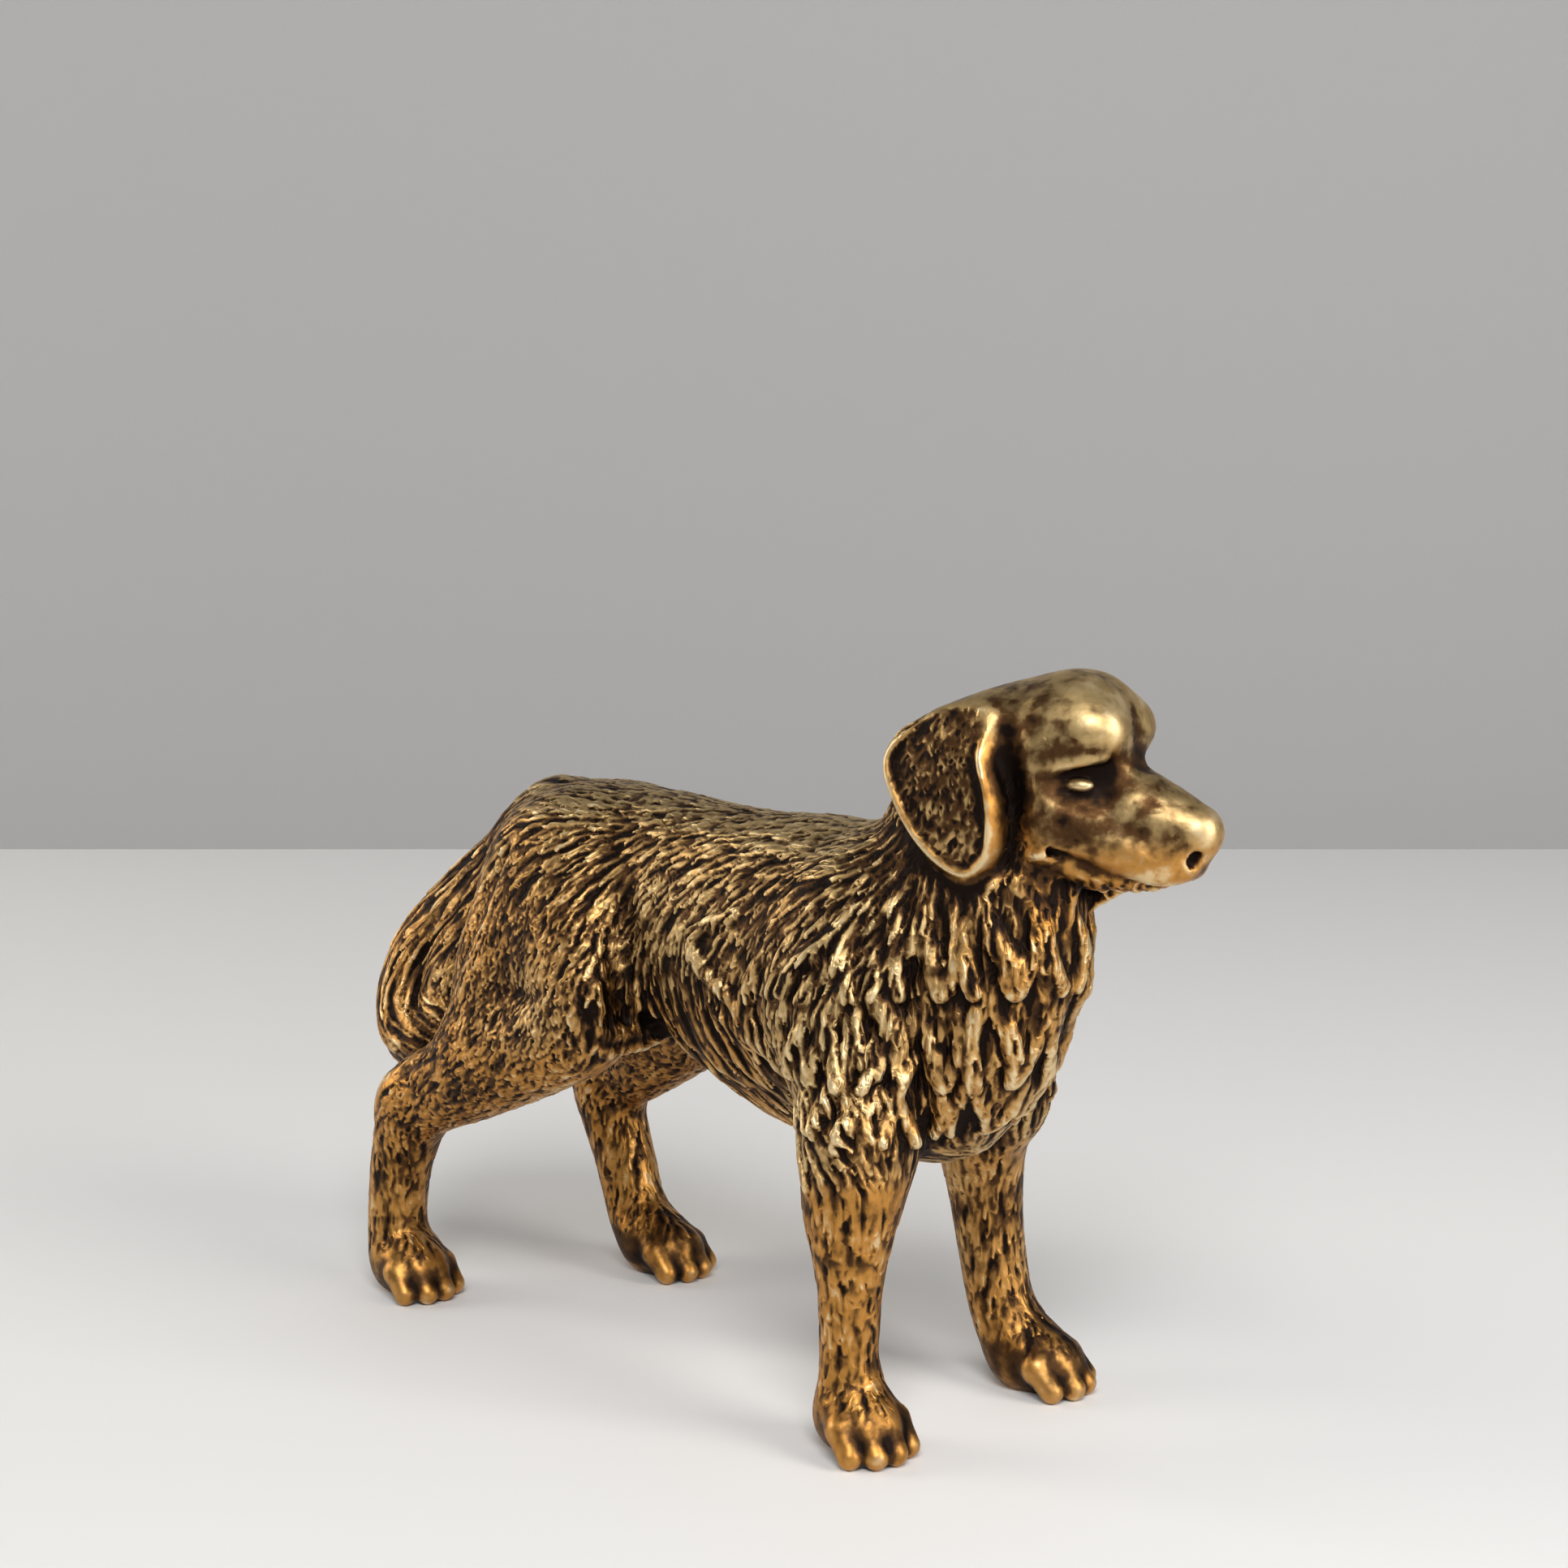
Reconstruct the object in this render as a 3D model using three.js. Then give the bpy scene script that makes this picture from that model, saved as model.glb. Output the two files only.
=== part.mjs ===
// A standing long-haired dog, cast in one piece: a figurine on its four paws.
// The form is a distance field built on an armature of tapered tubes and ovals. It is blended,
// meshed on a grid, and its coat is then pressed into the skin as rows of locks.
import * as THREE from "three";

// Driving dimension, in millimetres: the height from the soles to the top of the head.
const figureHeight = 120;

// Everything below is in shares of the height: 120.3 of them reach the top of the head.
const share = figureHeight / 120.3;
const unit = (v) => v * share;
const legReach = { right: -20.3, left: 19.6 };
const headTurn = THREE.MathUtils.degToRad(12);
const headCentre = [62.6, 3.7, 108];
const lockWidth = 5.2;
const lockLength = 15;
const lockDepth = 1.5;

// Tiers of free locks: round the mane, over each shoulder like a cape and down each upper arm. They
// stand round a middle, between two heights, and their tips stand off the skin. Angles are in
// degrees from straight ahead, to the side of the tier.
const maneTiers = [
  { middle: [50, 1], from: 87, to: 71.5, arc: [-118, 118], locks: 12, radius: 2.2, out: 0.9 },
  { middle: [48, 0], from: 75, to: 58.5, arc: [-112, 112], locks: 11, radius: 2.2, out: 0.5 },
  { middle: [46, 0], from: 61, to: 50, arc: [-80, 80], locks: 7, radius: 2, out: 0.1 },
];
const armTiers = [
  { middle: [40, 8], from: 77, to: 60.5, arc: [38, 158], locks: 8, radius: 2, out: 0.4 },
  { middle: [43, 13], from: 62, to: 49, arc: [20, 165], locks: 6, radius: 1.9, out: 0.2 },
];
// Long strands that run forwards and down into the fringe of the belly, on either side.
const fringe = { first: -15, apart: 5.2, strands: 9, from: 63, to: 45, forwards: 13, radius: 1.5 };
const toeSpread = 3.05;
const toeRadius = 2.5;
const earThickness = 1.3;
const earRim = 1.1;
const earRoot = 2.5;

// Spacing of the grid that finds the skin, and how many triangles are kept of it.
const cell = unit(1.5);
const trianglesKept = 9800;
const skirt = 5;

// Small vector helpers on plain triples.
const add = (a, b, s = 1) => [a[0] + b[0] * s, a[1] + b[1] * s, a[2] + b[2] * s];
const dot = (a, b) => a[0] * b[0] + a[1] * b[1] + a[2] * b[2];
const cross = (a, b) => [a[1] * b[2] - a[2] * b[1], a[2] * b[0] - a[0] * b[2], a[0] * b[1] - a[1] * b[0]];
const clamp = (v, lo, hi) => Math.min(Math.max(v, lo), hi);
const mix = (a, b, t) => a + (b - a) * t;
function ramp(edge0, edge1, v) {
  const t = clamp((v - edge0) / (edge1 - edge0), 0, 1);
  return t * t * (3 - 2 * t);
}
function bump(k, v) {
  return Math.exp(-(v / k) * (v / k));
}

// Smallest of two distances, rounded off over the width k where they meet.
function blendMin(a, b, k) {
  const h = Math.max(k - Math.abs(a - b), 0) / k;
  return Math.min(a, b) - (h * h * k) / 4;
}

// Stations of a tube are x, y, z and radius; a curve is run through them.
function throughStations(stations, steps) {
  if (steps === 1) {
    return stations;
  }
  const last = stations.length - 1;
  const beyond = (a, b) => a.map((v, i) => 2 * v - b[i]);
  const all = [beyond(stations[0], stations[1]), ...stations, beyond(stations[last], stations[last - 1])];
  const out = [];
  for (let i = 1; i < all.length - 2; i += 1) {
    const [a, b, c, d] = [all[i - 1], all[i], all[i + 1], all[i + 2]];
    for (let j = 0; j < steps; j += 1) {
      const t = j / steps;
      out.push(b.map((v, n) => 0.5 * (2 * v + (c[n] - a[n]) * t
        + (2 * a[n] - 5 * v + 4 * c[n] - d[n]) * t * t + (3 * v - a[n] - 3 * c[n] + d[n]) * t * t * t)));
    }
  }
  out.push(stations[last]);
  return out;
}

// Distance to one tapered piece of tube, flattened by squash across the given side direction.
function pieceDistance(p, a, b, squash, side) {
  const axis = add(b, a, -1);
  const w = add(p, a, -1);
  const t = clamp(dot(w, axis) / Math.max(dot(axis, axis), 1e-9), 0, 1);
  const q = add(w, axis, -t);
  const r = mix(a[3], b[3], t);
  const square = dot(q, q);
  if (squash === 1) {
    return Math.sqrt(square) - r;
  }
  const across = dot(q, side);
  const rest = Math.max(square - across * across, 0);
  const k0 = Math.sqrt(rest + (across / squash) ** 2) / r;
  const k1 = Math.sqrt(rest + (across / squash ** 2) ** 2) / r ** 2;
  return (k0 * (k0 - 1)) / Math.max(k1, 1e-6);
}

// The figure's masses, in the order they are blended.
const masses = [];
function addMass(distance, low, high, blend, cut) {
  const reach = unit(skirt) + blend;
  masses.push({ distance, low: low.map((v) => v - reach), high: high.map((v) => v + reach), blend, cut });
}

function addTube(stations, options = {}) {
  const { squash = 1, blend = 4, side = [0, 1, 0], steps = 4, inner = 0.6, cut = false } = options;
  const line = throughStations(stations.map((s) => s.map(unit)), steps);
  const low = [0, 1, 2].map((n) => Math.min(...line.map((s) => s[n] - s[3])));
  const high = [0, 1, 2].map((n) => Math.max(...line.map((s) => s[n] + s[3])));
  const distance = (p) => {
    let d = 1e9;
    for (let i = 1; i < line.length; i += 1) {
      d = blendMin(d, pieceDistance(p, line[i - 1], line[i], squash, side), unit(inner));
    }
    return d;
  };
  addMass(distance, low, high, unit(blend), cut);
}

function addOval(place, reach, blend, axes = [[1, 0, 0], [0, 1, 0], [0, 0, 1]], cut = false) {
  const centre = place.map(unit);
  const radii = reach.map(unit);
  const most = Math.max(...radii);
  const distance = (p) => {
    const w = add(p, centre, -1);
    let inner = 0;
    let outer = 0;
    for (let n = 0; n < 3; n += 1) {
      const v = dot(w, axes[n]);
      inner += (v / radii[n]) ** 2;
      outer += (v / radii[n] ** 2) ** 2;
    }
    const k0 = Math.sqrt(inner);
    return (k0 * (k0 - 1)) / Math.max(Math.sqrt(outer), 1e-6);
  };
  addMass(distance, centre.map((v) => v - most), centre.map((v) => v + most), unit(blend), cut);
}

// Trunk, hips, shoulders and the fringe under the belly.
addTube([[50, 0, 64, 12.6], [42, 0, 67.5, 20.2], [28, 0, 69.6, 24], [10, 0, 70.3, 22.9], [-4, 0, 73.4, 20.1],
  [-16, 0, 76.1, 18.3], [-28, 0, 77.6, 16.8], [-38, 0, 78, 16], [-46, 0, 79, 12.4]], { squash: 0.74 });
addTube([[-5, 0, 59, 6], [5, 0, 54, 7], [16, 0, 50.5, 7.6], [28, 0, 49.5, 8.5], [42, 0, 51, 9]], { blend: 5 });
for (const s of [-1, 1]) {
  addOval([-34, s * 7, 76], [14, 9.5, 15], 6);
  addOval([36, s * 10.5, 72], [12, 9, 16], 7);
  addTube([[38, s * 12, 66, 10], [42.5, s * 14.5, 56, 9], [44.5, s * 16.5, 49, 8.2]], { blend: 6, steps: 3 });
}

// Neck and the mass of the mane over the chest.
const maneLine = [[60, 3, 95, 8.6], [60, 2, 85, 10.6], [58.3, 1, 73, 11.2], [53.5, 0, 61, 10.8], [48.5, 0, 53.5, 10.4]];
const [headX, headY, headZ] = headCentre;
addTube([[43, 0, 78, 16.6], [48.5, 0.5, 86, 13.9], [headX - 7.6, headY * 0.54, headZ - 12, 11.4],
  [headX - 3.1, headY * 0.8, headZ - 4, 11]], { squash: 0.92, blend: 7, steps: 3 });
addTube(maneLine, { blend: 6, steps: 3 });

// Fore legs, then thighs with the hind legs; the figure steps, so left and right differ.
addTube([[45.3, legReach.right + 2.8, 46, 8.6], [45.4, legReach.right + 1.1, 38, 7.4],
  [45.9, legReach.right + 0.3, 31.3, 5.8], [46.1, legReach.right, 26.2, 4.9], [46, legReach.right, 20, 4.5],
  [45.9, legReach.right, 14.5, 4.3], [46.4, legReach.right, 10, 4.8], [47.2, legReach.right, 6, 5.3]], { blend: 3 });
addTube([[41.5, legReach.left - 3.6, 46, 7.8], [39.8, legReach.left - 1.4, 38, 6.7],
  [39.9, legReach.left - 0.6, 31, 5.8], [40.8, legReach.left - 0.6, 25, 5.4], [41.8, legReach.left - 0.4, 18.5, 5.2],
  [43.2, legReach.left, 12.5, 5.2], [45.6, legReach.left + 0.7, 8, 5.7], [47.6, legReach.left + 1, 5.8, 5.5]],
{ blend: 3 });
addTube([[-30, -8, 79, 12.8], [-24, -13, 68, 12.9], [-18, -17.3, 59, 9.7], [-26, -18.6, 52.5, 8.7],
  [-42, -19.6, 45, 8.3], [-54, -20.2, 39.5, 7.5], [-61.5, -20.5, 35, 6.4]], { squash: 0.82, blend: 6 });
addTube([[-36, -9, 77, 12.3], [-39, -13.5, 64, 12.2], [-43, -17, 52, 9.3]], { squash: 0.8, blend: 6, steps: 3 });
addTube([[-61, -20.5, 36.5, 6.2], [-63.4, -20.5, 30, 5.8], [-65.5, -20.5, 23.9, 5.3], [-66.6, -20.5, 18, 5.1],
  [-67, -20.5, 12.5, 5.1], [-66, -20.5, 8, 5.5], [-64, -20.5, 6, 5.7]], { blend: 3 });
addTube([[-30, 8, 79, 12.8], [-26, 12.5, 67, 12.3], [-22.5, 15.6, 56, 10], [-29, 17.2, 49.5, 8.8],
  [-41, 18.8, 42, 8], [-50, 19.8, 36.5, 7], [-54.5, 20, 33.5, 6.4]], { squash: 0.82, blend: 6 });
addTube([[-36, 9, 77, 12.3], [-40, 13, 64, 11.8], [-42, 16, 51, 8.8]], { squash: 0.8, blend: 6, steps: 3 });
addTube([[-54.3, 20, 34, 6.4], [-52.8, 20, 27, 5.8], [-50.7, 20, 21.9, 5.4], [-49.1, 20, 17.5, 5.3],
  [-47.4, 20, 12.5, 5.3], [-44.5, 19.8, 8, 5.7], [-41.5, 19.6, 6, 5.7]], { blend: 3 });

// Paws: a pad and four toes each, turned a little out or in.
const paws = [
  { at: [49.5, -20.9], turn: -16 },
  { at: [51.2, 20.7], turn: 8 },
  { at: [-61.4, -20.9], turn: -6 },
  { at: [-37.6, 19.7], turn: 2 },
];
for (const { at, turn } of paws) {
  const a = THREE.MathUtils.degToRad(turn);
  const place = (f, l, z, r) => [at[0] + Math.cos(a) * f - Math.sin(a) * l, at[1] + Math.sin(a) * f + Math.cos(a) * l, z, r];
  addTube([place(-3.5, 0, 5, 5.6), place(1.5, 0, 4.6, 5.2)], { blend: 3, steps: 1 });
  for (const n of [-1.5, -0.5, 0.5, 1.5]) {
    const off = n * toeSpread;
    const reach = 6.6 - Math.abs(n) * 2;
    addTube([place(-1.5, off * 0.7, 7, toeRadius), place(reach - 2.2, off, 5, toeRadius),
      place(reach + 1, off * 1.12, 2, toeRadius * 0.8)], { blend: 1, steps: 1, inner: 0.8 });
  }
}

// Grooves part the thighs from the flanks.
addTube([[-11, -14.8, 83, 0.8], [-10.5, -16, 77, 1.7], [-9.7, -17, 72, 2], [-8.7, -18, 66, 2], [-9, -17.4, 59, 1.2]],
  { blend: 2.5, cut: true, steps: 2 });
addTube([[-13, 14.8, 83, 0.8], [-12.8, 16, 77, 1.7], [-12.4, 16.8, 72, 2], [-12, 17.4, 66, 2], [-12.5, 16.4, 59, 1.2]],
  { blend: 2.5, cut: true, steps: 2 });

// Tail: a plume that hangs, turns in and is joined to the right thigh along its inner edge.
const tailLine = [[-44, 0, 86, 8.2], [-53.6, -1, 78.8, 7.5], [-63.8, -3, 69.8, 7.6], [-72, -5.5, 61, 7.9],
  [-74.4, -8.5, 53, 7.9], [-71.5, -11.5, 47, 7.2], [-66, -13.5, 44.8, 6]];
addTube(tailLine, { squash: 0.9, blend: 3 });
addTube([[-48, -2, 78, 8.5], [-56, -4.5, 68, 8.5], [-61, -8, 58.5, 8], [-61.5, -12, 50, 6.5]],
  { squash: 0.75, blend: 2, steps: 3 });
addTube([[-37, -18.5, 84, 0.8], [-42, -22, 72.5, 1.6], [-46.8, -23.2, 61.5, 1.6], [-56, -22.4, 49, 1.2]],
  { blend: 2, cut: true, steps: 2 });

// Head, laid out forwards, to the left and upwards from its own centre.
const forward = [Math.cos(headTurn), Math.sin(headTurn), 0];
const leftward = [-Math.sin(headTurn), Math.cos(headTurn), 0];
const headAxes = [forward, leftward, [0, 0, 1]];
function onHead(f, l, u) {
  return add(add(add(headCentre, forward, f), leftward, l), [0, 0, 1], u);
}
function headTube(stations, options = {}, both = false) {
  for (const s of both ? [-1, 1] : [1]) {
    const line = stations.map(([f, l, u, r]) => [...onHead(f, l * s, u), r]);
    addTube(line, { steps: 3, inner: 0.4, side: leftward, ...options });
  }
}
function headOval([f, l, u], radii, blend, cut = false, toe = 0) {
  for (const s of l === 0 ? [1] : [-1, 1]) {
    const a = headTurn + toe * s;
    const axes = toe === 0 ? headAxes : [[Math.cos(a), Math.sin(a), 0], [-Math.sin(a), Math.cos(a), 0], [0, 0, 1]];
    addOval(onHead(f, l * s, u), radii, blend, axes, cut);
  }
}
headOval([1.5, 0, 0], [13.6, 11.3, 10.8], 5);
headOval([7.5, 0, 4.2], [8.4, 9.4, 8.1], 4);
headTube([[-6, 0, -4, 9.5], [-13, 0, -11, 10.5]], { squash: 0.95, blend: 5, steps: 1 });
headOval([11.6, 4.9, 3.8], [4.8, 4.2, 4.1], 2.5);
headTube([[6, 0, -7.4, 9], [14, 0, -8.7, 7.7], [21, 0, -10.4, 6.2], [24.6, 0, -11.2, 5]], { squash: 0.88, blend: 3 });
headOval([26.7, 0, -10.4], [3.1, 3.8, 3.2], 1.2);
headTube([[7, 5.2, -10, 4], [14, 4.6, -12.9, 3.9], [20.5, 3.4, -15, 3.4], [23.8, 1.8, -15.2, 2.9]],
  { squash: 0.9, blend: 2 }, true);
headTube([[2, 2.4, -14.7, 5.2], [12, 2.6, -16.7, 3.8], [20.3, 1.5, -17.9, 2.7]], { blend: 1.2 }, true);
headOval([3.5, 6.8, -7.8], [9, 4.6, 8.2], 3);
headTube([[-13, 5.5, 1.5, 4], [-6, 6.2, 3.8, 4.2]], { blend: 4, steps: 1 }, true);

// Eyes under their lids, the recess before each ear, the mouth line and the furrow of the brow.
headOval([12, 8.6, -3.4], [5.2, 2.6, 3.1], 2.5, true, THREE.MathUtils.degToRad(-25));
headOval([10.6, 7.5, -3.9], [2.3, 1.6, 1.5], 0.6);
headTube([[3, 9.9, -2.2, 0.7], [7, 9.4, -1.1, 0.9], [10.5, 8.6, -0.2, 1], [13.6, 6.8, 0.5, 0.9]], { blend: 1.2 }, true);
headTube([[0.2, 12, 3, 1.2], [0.6, 12.6, -3, 2], [0.8, 12.4, -10, 2], [-0.2, 12, -15.5, 1.4]],
  { blend: 3.5, cut: true }, true);
headTube([[6.6, 8.8, -13.6, 0.7], [10.5, 7.8, -16.2, 1], [15.9, 6.2, -18, 1], [20.6, 4.2, -18.8, 0.9],
  [24.6, 0.6, -17.8, 0.7]], { blend: 0.7, cut: true, steps: 2 }, true);
headTube([[9, 0, 14.2, 0.6], [16, 0, 9.7, 0.8], [18, 0, 3.4, 1], [18, 0, -0.5, 0.9]], { blend: 2.5, cut: true, steps: 2 });

// Each ear is a leaf that hangs beside the neck, with a raised rim. Its outline runs forwards and upwards.
const cutCorners = (loop) => loop.flatMap((a, n) => {
  const b = loop[(n + 1) % loop.length];
  return [0.25, 0.75].map((t) => [mix(a[0], b[0], t), mix(a[1], b[1], t)]);
});
const earLeaf = cutCorners(cutCorners([[-4, 8], [-1.8, 5.4], [-2.2, 0], [-0.2, -4.6], [0.4, -10.5], [-0.8, -16.2],
  [-5.2, -20], [-10.2, -18.2], [-14.6, -14], [-18.2, -8.6], [-21.4, -2.6], [-19.8, 2], [-14, 6], [-8, 8]]));
function leafDistance(f, u) {
  let d = 1e9;
  let inside = false;
  for (let i = 0; i < earLeaf.length; i += 1) {
    const a = earLeaf[i];
    const b = earLeaf[(i + earLeaf.length - 1) % earLeaf.length];
    const e = [b[0] - a[0], b[1] - a[1]];
    const w = [f - a[0], u - a[1]];
    const t = clamp((w[0] * e[0] + w[1] * e[1]) / (e[0] * e[0] + e[1] * e[1]), 0, 1);
    d = Math.min(d, Math.hypot(w[0] - e[0] * t, w[1] - e[1] * t));
    if ((a[1] > u) !== (b[1] > u) && f < a[0] + (e[0] * w[1]) / e[1]) {
      inside = !inside;
    }
  }
  return inside ? -d : d;
}
for (const s of [-1, 1]) {
  const distance = (p) => {
    const w = add(p.map((v) => v / share), headCentre, -1);
    const [f, l, u] = [dot(w, forward), dot(w, leftward) * s, w[2]];
    const edge = leafDistance(f, u);
    const hang = Math.max(12.9 - 0.01 * (f + 7) ** 2 - 0.018 * (u + 8) ** 2, 7);
    const outer = earThickness + earRim * bump(1.1, edge + 1.4) * ramp(5, -1, u);
    const slab = l > hang ? outer - (l - hang) : earThickness + earRoot - (hang - l);
    return unit(-blendMin(-edge, slab, 1.6));
  };
  const ends = [];
  for (const f of [-23, 2]) {
    for (const l of [6, 16]) {
      for (const u of [-21, 9]) {
        ends.push(onHead(f, l * s, u).map(unit));
      }
    }
  }
  const low = [0, 1, 2].map((n) => Math.min(...ends.map((q) => q[n])));
  const high = [0, 1, 2].map((n) => Math.max(...ends.map((q) => q[n])));
  addMass(distance, low, high, unit(1), false);
}

function fieldAt(p) {
  let f = 50;
  for (const m of masses) {
    if (p.some((v, n) => v < m.low[n] || v > m.high[n])) {
      continue;
    }
    const d = m.distance(p);
    f = m.cut ? -blendMin(-f, d, m.blend) : blendMin(f, d, m.blend);
  }
  return f;
}

// Moves a point in from outside until it meets the skin made so far. Places are in shares.
function onSkin(start, inward) {
  let p = start.map(unit);
  for (let step = 0; step < 30; step += 1) {
    p = add(p, inward, Math.min(fieldAt(p), unit(2.5)));
  }
  return p.map((v) => v / share);
}

// A lock laid on the skin: thin at its root, sunk in at first and standing off at its tip.
function layLock(count, placeAt, radius, out) {
  const line = [];
  for (let k = 0; k <= count; k += 1) {
    const t = k / count;
    const { start, inward } = placeAt(t);
    const size = radius * (0.6 + 0.5 * Math.sin(Math.PI * (0.12 + 0.68 * t)));
    const rise = mix(-size * 1.05, out - size * 0.45, t);
    line.push([...add(onSkin(start, inward), inward, -rise), size]);
  }
  return line;
}

function addTier(tier, side) {
  const lines = [];
  for (let n = 0; n < tier.locks; n += 1) {
    const jitter = Math.sin(n * 12.9 + tier.from * 1.7);
    const around = THREE.MathUtils.degToRad(mix(...tier.arc, n / (tier.locks - 1)));
    lines.push(layLock(4, (t) => {
      const a = side * (around + 0.07 * Math.sin(t * 5 + n * 2.3));
      const z = mix(tier.from, tier.to + jitter * 1.3, t);
      const away = [Math.cos(a), Math.sin(a), 0];
      return { start: add([tier.middle[0], tier.middle[1] * side, z], away, 45), inward: away.map((v) => -v) };
    }, tier.radius * (1 + 0.12 * jitter), tier.out));
  }
  lines.forEach((line) => addTube(line, { blend: 0.9, steps: 2, inner: 0.3 }));
}
armTiers.forEach((tier) => [-1, 1].forEach((side) => addTier(tier, side)));
maneTiers.forEach((tier) => addTier(tier, 1));

for (const side of [-1, 1]) {
  const lines = [];
  for (let n = 0; n < fringe.strands; n += 1) {
    lines.push(layLock(5, (t) => {
      const x = fringe.first + n * fringe.apart + fringe.forwards * t * t + 0.5 * Math.sin(t * 6 + n * 2.1);
      const z = mix(fringe.from, fringe.to + 1.5 * Math.sin(n * 3.7), t);
      const tilt = 0.5 * t;
      return { start: [x, side * 45, z - 25 * tilt], inward: [0, -side * Math.cos(tilt), Math.sin(tilt)] };
    }, fringe.radius, 0));
  }
  lines.forEach((line) => addTube(line, { blend: 1, steps: 2, inner: 0.3 }));
}

// The grid is even and reaches past every mass. Its lowest lines lie half a cell under the soles.
const low = [0, 1, 2].map((n) => Math.min(...masses.map((m) => m.low[n])));
const high = [0, 1, 2].map((n) => Math.max(...masses.map((m) => m.high[n])));
low[2] = -cell / 2;
const every = 4;
const counts = low.map((v, n) => Math.ceil((high[n] - v) / cell / every) * every + 1);
const stride = [counts[1] * counts[2], counts[2], 1];
const crossing = (at) => at.map((v, n) => low[n] + v * cell);
const cellCorners = [0, 1, 2, 3, 4, 5, 6, 7].map((c) => [c >> 2, (c >> 1) & 1, c & 1]);
const cornerSteps = cellCorners.map((c) => dot(c, stride));

function everyCell(size, visit) {
  for (let i = 0; i < counts[0] - size; i += size) {
    for (let j = 0; j < counts[1] - size; j += size) {
      for (let k = 0; k < counts[2] - size; k += size) {
        visit(i * stride[0] + j * stride[1] + k, [i, j, k]);
      }
    }
  }
}

// The field at every crossing, cut off flat at the soles. A block of cells whose middle lies far
// from the skin takes that one value.
function fillGrid() {
  const values = new Float32Array(counts[0] * counts[1] * counts[2]).fill(NaN);
  everyCell(every, (base, at) => {
    const middle = fieldAt(crossing(at.map((v) => v + every / 2)));
    const near = Math.abs(middle) < every * cell;
    for (let i = 0; i <= every; i += 1) {
      for (let j = 0; j <= every; j += 1) {
        for (let k = 0; k <= every; k += 1) {
          const here = base + dot([i, j, k], stride);
          const known = !Number.isNaN(values[here]);
          if (near && (!known || Math.abs(values[here]) >= unit(skirt))) {
            const p = crossing(add(at, [i, j, k]));
            values[here] = Math.max(fieldAt(p), -p[2]);
          } else if (!known) {
            values[here] = Math.sign(middle) * 50;
          }
        }
      }
    }
  });
  return values;
}

// A cell whose inner or outer corners fall into two groups would join two sheets at one vertex,
// so its shallowest outer corner is filled until no such cell is left.
function closeGaps(values) {
  const groups = (mask) => {
    let seen = 0;
    let count = 0;
    for (let c = 0; c < 8; c += 1) {
      if (!((mask >> c) & 1) || (seen >> c) & 1) {
        continue;
      }
      count += 1;
      const open = [c];
      while (open.length > 0) {
        const at = open.pop();
        seen |= 1 << at;
        open.push(...[1, 2, 4].map((b) => at ^ b).filter((n) => (mask >> n) & 1 && !((seen >> n) & 1)));
      }
    }
    return count;
  };
  const split = Array.from({ length: 256 }, (_, mask) => groups(mask) > 1 || groups(255 - mask) > 1);
  for (let again = true; again;) {
    again = false;
    everyCell(1, (base) => {
      let mask = 0;
      for (let c = 0; c < 8; c += 1) {
        mask |= values[base + cornerSteps[c]] < 0 ? 1 << c : 0;
      }
      if (split[mask]) {
        const outer = cornerSteps.map((step) => base + step).filter((at) => values[at] >= 0);
        values[outer.reduce((least, at) => (values[at] < values[least] ? at : least))] = -0.05;
        again = true;
      }
    });
  }
  return values;
}

// One vertex in each cell that the surface crosses, and a face across each grid edge it crosses.
function meshGrid(values) {
  const points = [];
  const faces = [];
  const vertexOf = new Int32Array(values.length).fill(-1);
  const edges = cellCorners.flatMap((_, a) => [1, 2, 4].filter((bit) => !(a & bit)).map((bit) => [a, a | bit]));
  everyCell(1, (base, at) => {
    const v = cornerSteps.map((step) => values[base + step]);
    const within = v.filter((x) => x < 0).length;
    if (within === 0 || within === 8) {
      return;
    }
    let sum = [0, 0, 0];
    let crossed = 0;
    for (const [a, b] of edges) {
      if (v[a] < 0 !== v[b] < 0) {
        const t = v[a] / (v[a] - v[b]);
        sum = add(sum, cellCorners[a].map((x, n) => mix(x, cellCorners[b][n], t)));
        crossed += 1;
      }
    }
    vertexOf[base] = points.length;
    const sole = at[2] === 0;
    const whole = v.every((x, c) => x < 0 || cellCorners[c][2] === 0);
    points.push({ at: crossing(add(at, sum, 1 / crossed)), sole, rim: sole && !whole });
  });
  everyCell(1, (base, at) => {
    for (let n = 0; n < 3; n += 1) {
      const within = values[base] < 0;
      if (within !== values[base + stride[n]] < 0) {
        const u = stride[(n + 1) % 3];
        const w = stride[(n + 2) % 3];
        const ring = [base - u - w, base - w, base, base - u].map((v) => vertexOf[v]);
        faces.push(within ? ring : ring.reverse());
      }
    }
  });
  return { points, faces };
}

// The skin's outward direction at a point, and how steeply the field climbs there.
function slopeAt(p) {
  const here = fieldAt(p);
  const reach = unit(0.2);
  const g = [0, 1, 2].map((n) => (fieldAt(p.map((v, m) => (m === n ? v + reach : v))) - here) / reach);
  const size = Math.hypot(...g);
  return { here, normal: g.map((v) => v / Math.max(size, 1e-6)), size };
}

// Slides a point along the field's slope to the surface, or only sideways for the rim of a sole.
function toSurface(start, level) {
  let p = start;
  for (let turn = 0; turn < 2; turn += 1) {
    const { here, normal, size } = slopeAt(p);
    const step = clamp(here / Math.max(size, 0.5), -unit(0.5), unit(0.5));
    p = add(p, level ? [normal[0], normal[1], 0] : normal, -step);
  }
  return p;
}

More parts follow.
